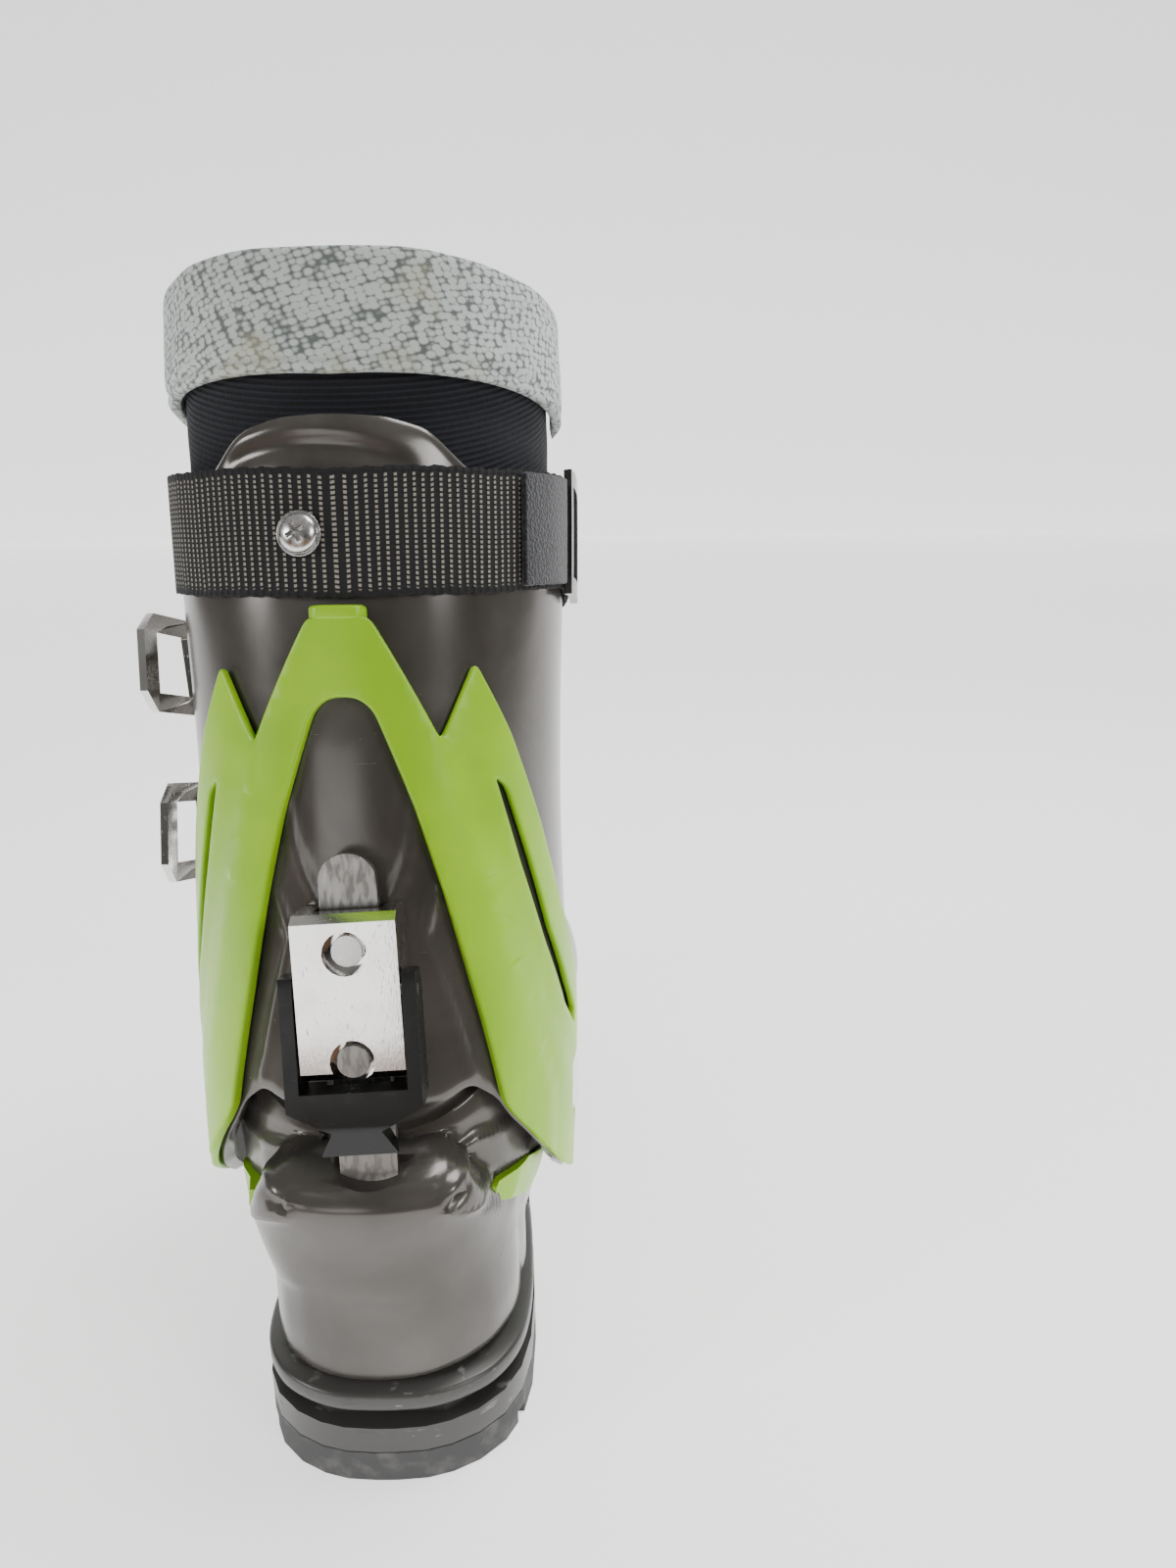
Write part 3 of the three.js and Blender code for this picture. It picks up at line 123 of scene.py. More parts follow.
class Finish:
    """A procedural material. Values that are the same all over are set on the shader itself."""

    def __init__(self, name, **fixed):
        self.material = bpy.data.materials.new(name)
        self.material.use_nodes = True
        self.tree = self.material.node_tree
        self.shader = self.tree.nodes["Principled BSDF"]
        for socket, value in fixed.items():
            self.shader.inputs[socket.replace("_", " ")].default_value = value

    def node(self, kind, settings, inputs, output=0):
        made = self.tree.nodes.new(kind)
        for key, value in settings.items():
            if key == "stops":
                ramp = made.color_ramp
                while len(ramp.elements) < len(value):
                    ramp.elements.new(0.5)
                for element, (position, level) in zip(ramp.elements, value):
                    element.position = position
                    element.color = (level, level, level, 1) if isinstance(level, float) else (*level, 1)
            else:
                setattr(made, key, value)
        for key, value in inputs.items():
            if isinstance(value, Wire):
                self.tree.links.new(value.socket, made.inputs[key])
            else:
                made.inputs[key].default_value = value
        return Wire(self, made.outputs[output])

    def place(self, scale=(1, 1, 1), turn=(0, 0, 0)):
        point = self.node("ShaderNodeTexCoord", {}, {}, "Object")
        return self.node("ShaderNodeMapping", {}, {"Vector": point, "Scale": scale, "Rotation": turn})

    def noise(self, size_mm, detail=3.0, stretch=(1, 1, 1), turn=(0, 0, 0), distortion=0.0):
        scale = tuple(1 / (size_mm * MM * s) for s in stretch)
        return self.node(
            "ShaderNodeTexNoise",
            {},
            {"Vector": self.place(scale, turn), "Scale": 1.0, "Detail": detail, "Distortion": distortion},
        )

    def band(self, value, low, high):
        return self.node("ShaderNodeMapRange", {"interpolation_type": "SMOOTHSTEP"},
                         {"Value": value, "From Min": low, "From Max": high})

    def mix(self, share, first, second):
        settings = {"data_type": "RGBA"}
        made = {0: share, 6: first, 7: second}
        return self.node("ShaderNodeMix", settings, made, 2)

    def drive(self, socket, wire):
        self.tree.links.new(wire.socket, self.shader.inputs[socket])

    def bump(self, height, depth_mm, strength=1.0):
        values = {"Height": height, "Distance": depth_mm * MM, "Strength": strength}
        made = self.node("ShaderNodeBump", {}, values)
        self.drive("Normal", made)


def rgb(red, green, blue):
    return (red, green, blue, 1.0)


paper = Finish("studio_floor", Base_Color=rgb(0.86, 0.86, 0.86), Roughness=0.7)
paper.shader.inputs["Emission Color"].default_value = rgb(1, 1, 1)
paper.shader.inputs["Emission Strength"].default_value = 1.1
wood = Finish("room_floor", Base_Color=rgb(0.2, 0.11, 0.055), Roughness=0.4)
wood.drive("Roughness", wood.noise(60) * 0.2 + 0.35)
paper.drive("Roughness", paper.noise(40) * 0.1 + 0.65)
for name, size, place, turn, finish in [
    ("floor", 8, (0, 3.72, 0), 0, paper),
    ("backdrop", 12, (0, 4.0, 1.0), math.pi / 2, paper),
    ("room_floor", 8, (0, -4.28, -0.001), 0, wood),
]:
    bpy.ops.mesh.primitive_plane_add(size=size, location=place, rotation=(turn, 0, 0))
    sheet_of_paper = bpy.context.object
    sheet_of_paper.name = name
    bpy.ops.object.transform_apply(location=True, rotation=True, scale=True)
    sheet_of_paper.data.materials.append(finish.material)

# ---------------------------------------------------------------- shell plastic
# The cuff, the lower shell and the instep flap are injection-moulded in one warm grey, slightly
# pearly plastic: satin gloss, cloudy flow marks, fine pale scratches.
grey = Finish("warm_grey_plastic", Base_Color=rgb(0.1, 0.092, 0.083), Roughness=0.26, Metallic=0.35)
grey.shader.inputs["Coat Weight"].default_value = 0.25
grey.shader.inputs["Coat Roughness"].default_value = 0.18
cloud = grey.noise(38, 4.0, distortion=0.6)
hair = grey.noise(1.1, 2.0, stretch=(0.35, 0.35, 22), turn=(0.5, 0.35, 0.2))
hair_two = grey.noise(1.4, 2.0, stretch=(20, 0.4, 0.4), turn=(0.1, 0.8, 0.5))
scratch = grey.band(hair, 0.74, 0.79) + grey.band(hair_two, 0.76, 0.80)
worn = grey.band(grey.noise(60, 2.0), 0.45, 0.7)
marks = scratch * worn * 0.45
tone = grey.mix(grey.band(cloud, 0.3, 0.7), rgb(0.075, 0.068, 0.061), rgb(0.12, 0.11, 0.1))
grey.drive("Base Color", grey.mix(marks, tone, rgb(0.5, 0.48, 0.45)))
grey.drive("Roughness", cloud * 0.14 + 0.17 + marks * 0.4)
grey.bump(grey.noise(0.7, 2.0) * 0.25 + scratch * 0.6, 0.05, 0.35)

# ---------------------------------------------------------------- cuff
# The cuff is one wrap-round moulding that hinges at the ankle; its inner flap closes over the outer
# one at the shin. Behind, a proud flat field carries the lock and a dent runs under the spoiler.
PIVOT_Y, PIVOT_Z = 30.0, 86.0
LEAN = math.radians(15)
CANT = 0.02
LEG_SHIFT = -3.0
LEG_SQUARENESS = 2.2
LEG_STEP = 30.0
LEG_SIZES = np.array(
    [
        (52, 57, 66),
        (54, 55, 66),
        (55, 54, 65),
        (54.5, 56, 62),
        (54.5, 58, 60),
        (55.5, 60, 60),
        (57, 62.5, 61),
        (58, 64.5, 62),
        (58.5, 66, 63),
        (58.5, 67, 64),
        (58.5, 67, 65),
    ],
    float,
)
CUFF_WALL = 3.6
CUFF_BOTTOM = [(0, 8), (20, 8), (30, 12), (39, 7), (44, 1), (57, -9), (72, -19), (88, -27), (104, -27),
               (108, -12), (114, 12), (124, 34), (140, 52), (160, 64), (180, 69), (206, 70)]
CUFF_TOP = [(0, 191), (12, 190.5), (23, 188), (33, 180), (45, 173), (62, 169), (90, 168), (125, 162),
            (150, 150), (206, 140)]
FLAP_START, FLAP_OVER, FLAP_RISE = 118, 160, CUFF_WALL + 0.7


def smooth(value, low, high):
    share = np.clip((value - low) / (high - low), 0, 1)
    return share * share * (3 - 2 * share)


def curve_through(rows, place):
    """Catmull-Rom through rows; place counts in rows."""
    count = len(rows)
    first = np.clip(np.floor(place).astype(int), 0, count - 2)
    share = (place - first)[..., None]
    a, b, c, d = (rows[np.clip(first + k, 0, count - 1)] for k in (-1, 0, 1, 2))
    return 0.5 * (
        2 * b
        + (c - a) * share
        + (2 * a - 5 * b + 4 * c - d) * share**2
        + (3 * b - a - 3 * c + d) * share**3
    )


def along_table(table, angle, soften=2.0):
    """A table of (angle, value) pairs read at each angle, its corners rounded."""
    keys, values = zip(*table)
    steps = [-soften, -soften / 2, 0, soften / 2, soften]
    return sum(np.interp(np.abs(angle + s), keys, values) for s in steps) / len(steps)


def leg_size(height):
    return curve_through(LEG_SIZES, np.clip(height / LEG_STEP + 1, 0, 9.999))


def leg_point(angle, height, offset=0.0):
    """A point on the leg form in millimetres: angle 0 behind, +90 inside; height up from the hinge."""
    size = leg_size(height)
    sine, cosine = np.sin(np.radians(angle)), np.cos(np.radians(angle))
    depth = np.where(cosine > 0, size[..., 1], size[..., 2]) + offset
    flat = lambda v: np.sign(v) * np.abs(v) ** (2 / LEG_SQUARENESS)
    x = (size[..., 0] + offset) * flat(sine) + LEG_SHIFT - CANT * height
    back = depth * flat(cosine)
    y = PIVOT_Y + math.sin(LEAN) * height - math.cos(LEAN) * back
    z = PIVOT_Z + math.cos(LEAN) * height + math.sin(LEAN) * back
    return np.stack([x, y, z], -1)


def shaped_grid(name, columns, rows, place, merge=True):
    """A grid primitive whose vertices are laid out by place(u, v) in millimetres."""
    bpy.ops.object.select_all(action="DESELECT")
    bpy.ops.mesh.primitive_grid_add(x_subdivisions=columns, y_subdivisions=rows, size=2, calc_uvs=True)
    piece = bpy.context.object
    piece.name = piece.data.name = name
    flat = np.empty(len(piece.data.vertices) * 3)
    piece.data.vertices.foreach_get("co", flat)
    flat = flat.reshape(-1, 3)
    points = place((flat[:, 0] + 1) / 2, (flat[:, 1] + 1) / 2) * MM
    piece.data.vertices.foreach_set("co", points.ravel())
    piece.data.update()
    if merge:
        bpy.ops.object.mode_set(mode="EDIT")
        bpy.ops.mesh.select_all(action="SELECT")
        bpy.ops.mesh.remove_doubles(threshold=0.00002)
        bpy.ops.object.mode_set(mode="OBJECT")
    return piece


def finish_piece(piece, finish, body, nodes=(), wall=0.0, bevel=0.0, outward=False, angle=35):
    """Wall, rounded edges, finish and place in the frame."""
    bpy.ops.object.select_all(action="DESELECT")
    piece.select_set(True)
    bpy.context.view_layer.objects.active = piece
    if wall:
        shell = piece.modifiers.new("wall", "SOLIDIFY")
        shell.thickness = wall * MM
        shell.offset = 1.0 if outward else -1.0
        shell.use_even_offset = False
        bpy.ops.object.modifier_apply(modifier=shell.name)
    if bevel:
        edge = piece.modifiers.new("edge", "BEVEL")
        edge.width = bevel * MM
        edge.segments = 2
        edge.limit_method = "ANGLE"
        edge.angle_limit = math.radians(angle)
        bpy.ops.object.modifier_apply(modifier=edge.name)
    bpy.ops.object.shade_smooth_by_angle(angle=math.radians(angle))
    piece.data.materials.clear()
    piece.data.materials.append(finish.material)
    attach(piece, body)
    if nodes:
        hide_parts(*nodes)
    return piece


def flap_rise(angle):
    return FLAP_RISE * smooth(angle, FLAP_START, FLAP_OVER)


def near_line(angle, height, line, width):
    """1 on a polyline drawn as (angle, height) on one half of the back, 0 beyond width millimetres."""
    x, y = np.abs(angle), height
    best = np.full(x.shape, 1e9)
    for (a0, t0), (a1, t1) in zip(line, line[1:]):
        du, dv = a1 - a0, t1 - t0
        share = np.clip(((x - a0) * du + (y - t0) * dv) / (du * du + dv * dv), 0, 1)
        best = np.minimum(best, np.hypot(x - a0 - share * du, y - t0 - share * dv))
    return 1 - smooth(best, 0, width)


FIN = [(16.5, 92), (15, 80), (12, 71), (8.5, 64)]
PANEL_RIDGE = [(21, 66), (17, 54), (23, 36), (30, 14)]


def cuff_relief(angle, height):
    back = 1 - smooth(np.abs(angle), 30, 40)
    crown_band = smooth(height, 70, 92) * (1 - smooth(height, 104, 122))
    crown = 0.55 * (1 - smooth(np.abs(angle), 8, 17)) * crown_band
    fins = 0.65 * near_line(angle, height, FIN, 3.2)
    ridge = 0.6 * near_line(angle, height, PANEL_RIDGE, 3.0)
    outside = np.interp(height, [12, 36, 54, 66], [30, 23, 17, 21])
    panel_band = smooth(height, 16, 22) * (1 - smooth(height, 60, 70))
    panel = -0.45 * smooth(np.abs(angle), outside, outside + 3) * panel_band
    dent_height = 183.0 - 0.0075 * (angle + 7) ** 2
    dent = -1.0 * np.exp(-(((height - dent_height) / 2.6) ** 2)) * (1 - smooth(np.abs(angle + 7), 16, 27))
    lip = 0.5 * np.exp(-(((height - dent_height - 4.5) / 2.6) ** 2)) * (1 - smooth(np.abs(angle + 7), 18, 30))
    seam = 0.12 * np.exp(-(((angle + 2.5) / 0.35) ** 2)) * smooth(height, 90, 100)
    return (crown + fins + ridge + panel) * back + dent + lip + seam


def cuff_outer(u, v):
    angle = -196 + 402 * u
    low, high = along_table(CUFF_BOTTOM, angle), along_table(CUFF_TOP, angle)
    height = low + (high - low) * v
    edge = np.minimum(height - low, high - height)
    roll = -0.8 * (1 - smooth(edge, 0, 2.2))
    return leg_point(angle, height, flap_rise(angle) + cuff_relief(angle, height) + roll)


cuff = shaped_grid("cuff", 300, 130, cuff_outer, merge=False)
finish_piece(cuff, grey, "cuff", ["cuff_shell"], wall=CUFF_WALL, bevel=0.5, angle=50)

# ---------------------------------------------------------------- lime frame
# A lime frame is moulded over the back of the cuff: an inverted V with a branch on each side that
# wraps round to the ankle rivet. Its edges are rolled and a step marks where arm and branch meet.
FRAME_RISE = 0.55
FRAME_THICK = 3.0
FRAME_EDGE = [(3, 139), (6.5, 138.5), (23.2, 106.5), (33.8, 127.7), (46, 109), (59, 84), (70, 60.5), (84, 42),
              (97, 30), (107, 14), (110, -4), (107, -19), (98, -26), (88, -26.5), (72, -19.5), (57, -9.5),
              (43.4, 1.5), (39, 6.4), (30, 37.6), (23.3, 63.5), (16, 88), (6.3, 114.7), (2.6, 118)]
FRAME_SLOT = [(40, 96.7), (44, 94), (52.7, 74.5), (62.5, 52), (73, 35), (82, 25), (80, 20.5), (70, 29),
              (59, 48.7), (49, 72)]
FRAME_STEP = [(23.2, 106.5), (30.5, 86), (40, 60), (51, 27), (62, 2)]
EYE = 10.8
ARC = math.radians(1) * 57.0

lime = Finish("lime_plastic", Base_Color=rgb(0.5, 0.8, 0.0), Roughness=0.36)
lime.shader.inputs["Coat Weight"].default_value = 0.15
lime.shader.inputs["Coat Roughness"].default_value = 0.25
lime_cloud = lime.noise(30, 3.0)
lime_hair = lime.noise(1.2, 2.0, stretch=(0.4, 0.4, 18), turn=(0.7, 0.2, 0.4))
lime_marks = lime.band(lime_hair, 0.75, 0.8) * lime.band(lime.noise(45, 2.0), 0.5, 0.65)
lime_tone = lime.mix(lime.band(lime_cloud, 0.3, 0.7), rgb(0.30, 0.62, 0.0), rgb(0.37, 0.72, 0.0))
lime.drive("Base Color", lime.mix(lime_marks * 0.6, lime_tone, rgb(0.2, 0.3, 0.03)))
lime.drive("Roughness", lime_cloud * 0.12 + 0.3)
lime.bump(lime.noise(0.8, 2.0) * 0.3, 0.05, 0.25)


def rounded_corners(points, radius):
    """A closed outline with each corner cut by a short arc."""
    out = []
    count = len(points)
    for i in range(count):
        before, corner, after = (np.array(points[(i + k) % count], float) for k in (-1, 0, 1))
        to_before, to_after = before - corner, after - corner
        reach_before = min(radius, 0.45 * np.linalg.norm(to_before))
        reach_after = min(radius, 0.45 * np.linalg.norm(to_after))
        start = corner + to_before / np.linalg.norm(to_before) * reach_before
        end = corner + to_after / np.linalg.norm(to_after) * reach_after
        for share in np.linspace(0, 1, 5):
            out.append((1 - share) ** 2 * start + 2 * share * (1 - share) * corner + share**2 * end)
    return out


def flat_outline(curve, points):
    spline = curve.splines.new("POLY")
    spline.points.add(len(points) - 1)
    for target, point in zip(spline.points, points):
        target.co = (point[0] * MM, point[1] * MM, 0, 1)
    spline.use_cyclic_u = True


def cut_into_cells(step):
    """Bisects the flat mesh in edit mode along a lattice, so that it can be bent."""
    bpy.ops.object.mode_set(mode="EDIT")
    box = [Vector(c) for c in bpy.context.object.bound_box]
    for axis in (0, 1):
        low, high = min(c[axis] for c in box), max(c[axis] for c in box)
        for place in np.arange(low + step * MM, high, step * MM):
            where, normal = [0.0, 0.0, 0.0], [0.0, 0.0, 0.0]
            where[axis], normal[axis] = place, 1.0
            bpy.ops.mesh.select_all(action="SELECT")
            bpy.ops.mesh.bisect(plane_co=where, plane_no=normal)
    bpy.ops.object.mode_set(mode="OBJECT")


def on_arc(points):
    return [(a * ARC, t) for a, t in points]


def mirrored(points):
    return [(-a, t) for a, t in points][::-1]


frame_curve = bpy.data.curves.new("cuff_frame", "CURVE")
frame_curve.dimensions = "2D"
frame_curve.fill_mode = "BOTH"
flat_outline(frame_curve, rounded_corners(on_arc(FRAME_EDGE + mirrored(FRAME_EDGE)), 2.6))
for slot in (FRAME_SLOT, mirrored(FRAME_SLOT)):
    flat_outline(frame_curve, rounded_corners(on_arc(slot), 1.6))
for side in (-1, 1):
    turn = np.linspace(0, 2 * math.pi, 40, endpoint=False)
    flat_outline(frame_curve, [(90 * side * ARC + EYE * math.cos(t), EYE * math.sin(t)) for t in turn])
frame_curve.extrude = (FRAME_THICK / 2 - 0.7) * MM
frame_curve.bevel_depth = 0.7 * MM
frame_curve.bevel_resolution = 2
frame_curve.offset = -0.7 * MM
bpy.ops.object.select_all(action="DESELECT")
lime_frame = bpy.data.objects.new("cuff_frame", frame_curve)
bpy.context.scene.collection.objects.link(lime_frame)
lime_frame.select_set(True)
bpy.context.view_layer.objects.active = lime_frame
bpy.ops.object.convert(target="MESH")
lime_frame = bpy.context.object
bpy.ops.object.mode_set(mode="EDIT")
bpy.ops.mesh.select_all(action="SELECT")
bpy.ops.mesh.remove_doubles(threshold=0.00001)
bpy.ops.object.mode_set(mode="OBJECT")
cut_into_cells(3.0)
flat = np.empty(len(lime_frame.data.vertices) * 3)
lime_frame.data.vertices.foreach_get("co", flat)
flat = flat.reshape(-1, 3) / MM
angle_at, height_at = flat[:, 0] / ARC, flat[:, 1]
step_at = np.interp(height_at, [t for a, t in FRAME_STEP[::-1]], [a for a, t in FRAME_STEP[::-1]])
arm = 1 - smooth(np.abs(angle_at), step_at - 1.3, step_at + 0.6)
drop = -0.8 * (1 - arm) * smooth(flat[:, 2], -0.3, 0.6)
FRAME_HOLLOW = [(31, 100), (45, 66), (60, 30), (84, 4)]
hollow = -0.5 * near_line(angle_at, height_at, FRAME_HOLLOW, 5.0) * smooth(flat[:, 2], 0.2, 1)
bent = leg_point(angle_at, height_at, FRAME_RISE + FRAME_THICK / 2 + flat[:, 2] + drop + hollow) * MM
lime_frame.data.vertices.foreach_set("co", bent.ravel())
lime_frame.data.update()
finish_piece(lime_frame, lime, "cuff", ["cuff_exoskeleton"], angle=40)

# A small moulded tab stands on top of the frame, over the hook of the spoiler.
tab = shaped_grid(
    "frame_tab", 20, 16,
    lambda u, v: leg_point(
        6.2 * (u - 0.5) * 2 * np.sqrt(np.clip(1 - (2 * v - 1) ** 6 * 0.35, 0, 1)) - 0.3,
        137.5 + 4.5 * v,
        1.0 + 3.0 * (1 - (2 * u - 1) ** 6) * (1 - (2 * v - 1) ** 6),
    ),
)
finish_piece(tab, lime, "cuff", wall=1.0, angle=60)

# ---------------------------------------------------------------- lower shell
# The lower shell holds the foot. It is blow-smooth at the heel, has a shelf behind the ankle with a
# crescent for the lock bar, and a wing on each side that ends in a slotted teardrop.
SHELL_WALL = 2.6
LEVELS = [0.06, 0.25, 0.5, 0.75, 0.94]
SECTIONS = np.array(
    [  # sole y z, instep y z, half widths at the five levels, sideways shift
        (262, 40, 262, 46, 3, 4, 5, 4, 3, 8),
        (258, 36, 258, 50, 9, 13, 14, 13, 8, 8),
        (251, 32, 250, 63, 24, 30, 31, 27, 15, 7),
        (237, 29, 235, 73, 35, 41, 42, 36, 19, 5),
        (213, 27, 209, 82, 42, 49, 49, 42, 22, 2),
        (183, 26, 177, 89, 43, 51, 51, 43, 23, 0),
        (150, 26, 148, 97, 38, 47, 48, 41, 22, -2),
        (115, 26, 126, 106, 34, 43, 45, 39, 22, -3),
        (80, 26, 110, 116, 31, 41, 44.5, 40, 24, -3),
        (45, 26, 101, 125, 31, 41, 46, 43, 27, -2.5),
        (12, 26, 95, 132, 30, 42, 47.5, 45, 30, -2),
        (-12, 28, 91, 137, 26, 40, 47.5, 45.5, 31, -2),
        (-26, 37, 88, 141, 24, 39, 47.5, 46, 32, -2.5),
        (-32, 52, 86, 144, 25, 40, 47.5, 46, 32, -3),
        (-34, 70, 84, 146, 28, 41.5, 47.5, 46.5, 33, -3),
        (-36.5, 84, 82.5, 148, 31, 44, 47.5, 46.5, 33, -3),
        (-35.5, 95, 81, 150, 32, 44.5, 47.5, 46.5, 33, -3),
        (-31, 98.5, 80, 151.5, 30, 43.5, 47.5, 46.5, 33, -3),
        (-17.4, 97, 79, 153, 20, 39, 47, 46.5, 33, -3.5),
        (-12, 108, 78, 154.5, 20, 38.5, 47, 46.5, 33, -3.5),
        (-4, 118, 77, 156, 20, 38, 47, 46, 33, -3.5),
    ],
    float,
)
RUN_GAP = 3.0
CUFF_SWINGS = [-8, -4, 0, 5, 10]


def tuck(points):
    """Keeps the shell inside the cuff wherever the cuff swings over it."""
    place = points.copy()
    for swing in CUFF_SWINGS:
        turn = math.radians(-swing)
        y, z = place[:, 1] - PIVOT_Y, place[:, 2] - PIVOT_Z
        y, z = y * math.cos(turn) - z * math.sin(turn), y * math.sin(turn) + z * math.cos(turn)
        height = y * math.sin(LEAN) + z * math.cos(LEAN)
        ahead = y * math.cos(LEAN) - z * math.sin(LEAN)
        middle = LEG_SHIFT - CANT * height
        side = place[:, 0] - middle
        size = leg_size(height)
        across = np.abs(side / (size[:, 0] - CUFF_WALL - RUN_GAP))
        deep = np.abs(ahead / (np.where(ahead < 0, size[:, 1], size[:, 2]) - CUFF_WALL - RUN_GAP))
        out = (across**LEG_SQUARENESS + deep**LEG_SQUARENESS) ** (1 / LEG_SQUARENESS)
        beyond = np.maximum(0, 1 - 1 / np.maximum(out, 1e-6))
        angle = np.degrees(np.arctan2(side, -ahead))
        edge = along_table(CUFF_BOTTOM, angle, 3.0)
        flank = smooth(np.abs(angle), 16, 34)
        covered = smooth(height, edge - 14 - 12 * flank, edge - 7.5 - 4.5 * flank)
        scale = 1 - (1 - smooth(beyond, 0.18, 0.3)) * beyond * covered
        ahead, side = ahead * scale, side * scale
        y = height * math.sin(LEAN) + ahead * math.cos(LEAN)
        z = height * math.cos(LEAN) - ahead * math.sin(LEAN)
        y, z = y * math.cos(-turn) - z * math.sin(-turn), y * math.sin(-turn) + z * math.cos(-turn)
        place = np.stack([middle + side, PIVOT_Y + y, PIVOT_Z + z], -1)
    return place


def foot_surface(u, v, offset=0.0, last=20.0):
    """The foot form: u once round a section, v from the toe round the heel to the collar."""
    section = curve_through(SECTIONS, v * last)
    sole, instep = section[:, 0:2], section[:, 2:4]
    span = np.linalg.norm(instep - sole, axis=1, keepdims=True)
    along = (instep - sole) / span
    sole, instep = sole - along * offset, instep + along * offset
    knots = [np.concatenate([np.zeros((len(u), 1)), sole], 1)]
    level = [sole + (instep - sole) * share for share in LEVELS]
    for k in range(5):
        knots.append(np.concatenate([section[:, 4 + k : 5 + k] + offset, level[k]], 1))
    knots.append(np.concatenate([np.zeros((len(u), 1)), instep], 1))
    for k in range(4, -1, -1):
        knots.append(np.concatenate([-section[:, 4 + k : 5 + k] - offset, level[k]], 1))
    stack = np.stack(knots, 1)
    place = u * 12
    first = np.floor(place).astype(int)
    share = (place - first)[:, None]
    rows = np.arange(len(u))
    a, b, c, d = (stack[rows, (first + k) % 12] for k in (-1, 0, 1, 2))
    point = 0.5 * (
        2 * b + (c - a) * share + (2 * a - 5 * b + 4 * c - d) * share**2 + (3 * b - a - 3 * c + d) * share**3
    )
    point[:, 0] += section[:, 9]
    return point


def wing_relief(point):
    """How far the heel's wings, scoops and slots stand out, from the place on the back of the heel."""
    x, y, z = np.abs(point[:, 0] + 1.0), point[:, 1], point[:, 2]
    behind = 1 - smooth(y, 0, 22)
    low = np.interp(x, [18, 22, 30, 42, 50], [86, 82.3, 79.5, 75.5, 72])
    high = np.interp(x, [18, 21, 26, 35, 41, 50], [86.5, 90, 92.0, 90.8, 90.6, 93])
    wing = smooth(z, low - 1.2, low + 1.0) * (1 - smooth(z, high - 1.0, high + 1.2)) * smooth(x, 17.5, 20.5)
    wing = wing * (1 - smooth(x, 32, 38))
    bead = np.exp(-(((z - high + 0.8) / 1.3) ** 2)) * smooth(x, 19, 22)
    foot = np.exp(-(((z - low - 0.9) / 1.1) ** 2)) * smooth(x, 19, 22)
    scoop = smooth(z, high + 0.5, high + 2.5) * (1 - smooth(z, 95.5, 98)) * smooth(x, 20, 27)
    slot_x, slot_z = x - 22.6, z - 86.4
    turned = (slot_x * 0.86 + slot_z * 0.5, slot_z * 0.86 - slot_x * 0.5)
    slot = np.exp(-((turned[0] / 2.1) ** 4) - ((turned[1] / 1.0) ** 4))
    seam_level = 60.5 - 0.004 * point[:, 0] ** 2
    seam = 0.22 * np.exp(-(((z - seam_level) / 0.35) ** 2)) * (1 - smooth(y, -10, 30))
    mould_reach = (1 - smooth(z, 88, 91)) * (1 - smooth(y, -25, -20))
    mould = 0.12 * np.exp(-(((point[:, 0] + 1.2) / 0.3) ** 2)) * mould_reach
    return behind * (1.0 * wing + 0.5 * bead + 0.3 * foot - 0.5 * scoop - 1.8 * slot) + seam + mould


def push_out(piece, relief):
    """Moves each vertex along its normal by relief(points) millimetres."""
    count = len(piece.data.vertices)
    place, normal = np.empty(count * 3), np.empty(count * 3)
    piece.data.vertices.foreach_get("co", place)
    piece.data.vertices.foreach_get("normal", normal)
    place, normal = place.reshape(-1, 3), normal.reshape(-1, 3)
    place = place + normal * relief(place / MM)[:, None] * MM
    piece.data.vertices.foreach_set("co", place.ravel())
    piece.data.update()


def cut_away(piece, cutter):
    """Cuts a solid out of a piece and removes the cutter."""
    bpy.ops.object.select_all(action="DESELECT")
    piece.select_set(True)
    bpy.context.view_layer.objects.active = piece
    tool = piece.modifiers.new("cut", "BOOLEAN")
    tool.operation = "DIFFERENCE"
    tool.solver = "EXACT"
    tool.object = cutter
    bpy.ops.object.modifier_apply(modifier=tool.name)
    bpy.data.objects.remove(cutter)


SOLE_STATIONS = np.array(
    [(-38, 3, 0), (-37, 13, 0), (-33, 23, 0), (-26, 31.5, 0), (-14, 37.5, 0), (4, 39.5, 0), (30, 38.5, 0),
     (62, 35.5, 0), (95, 34.5, -1), (128, 39, -2), (160, 46.5, -1), (188, 49.5, 0), (212, 47.5, 2),
     (234, 41.5, 4), (250, 32, 6), (260, 21, 7), (265, 11, 8), (267, 3, 8)],
    float,
)

HEEL_MIDDLE = 20.0


def heel_skirt(points):
    """Fills the heel out towards the welt below, as far as the sole's outline."""
    out = points.copy()
    x, y, z = out[:, 0], out[:, 1] - HEEL_MIDDLE, out[:, 2]
    stations = SOLE_STATIONS[:7]
    rim_x = np.concatenate([stations[:, 1], -stations[:, 1]])
    rim_y = np.concatenate([stations[:, 0], stations[:, 0]]) - HEEL_MIDDLE
    turn = np.arctan2(rim_x, -rim_y)
    order = np.argsort(turn)
    around = np.arctan2(x, -y)
    rim = np.interp(around, turn[order], np.hypot(rim_x, rim_y)[order]) - 4.2
    reach = np.maximum(np.hypot(x, y), 1e-6)
    share = reach / rim
    weight = (1 - smooth(z, 40, 80)) * (1 - smooth(y, 0, 26)) * smooth(share, 0.4, 0.72)
    grown = reach + np.maximum(rim - reach, 0) * weight
    out[:, 0] = x * grown / reach
    out[:, 1] = y * grown / reach + HEEL_MIDDLE
    return out


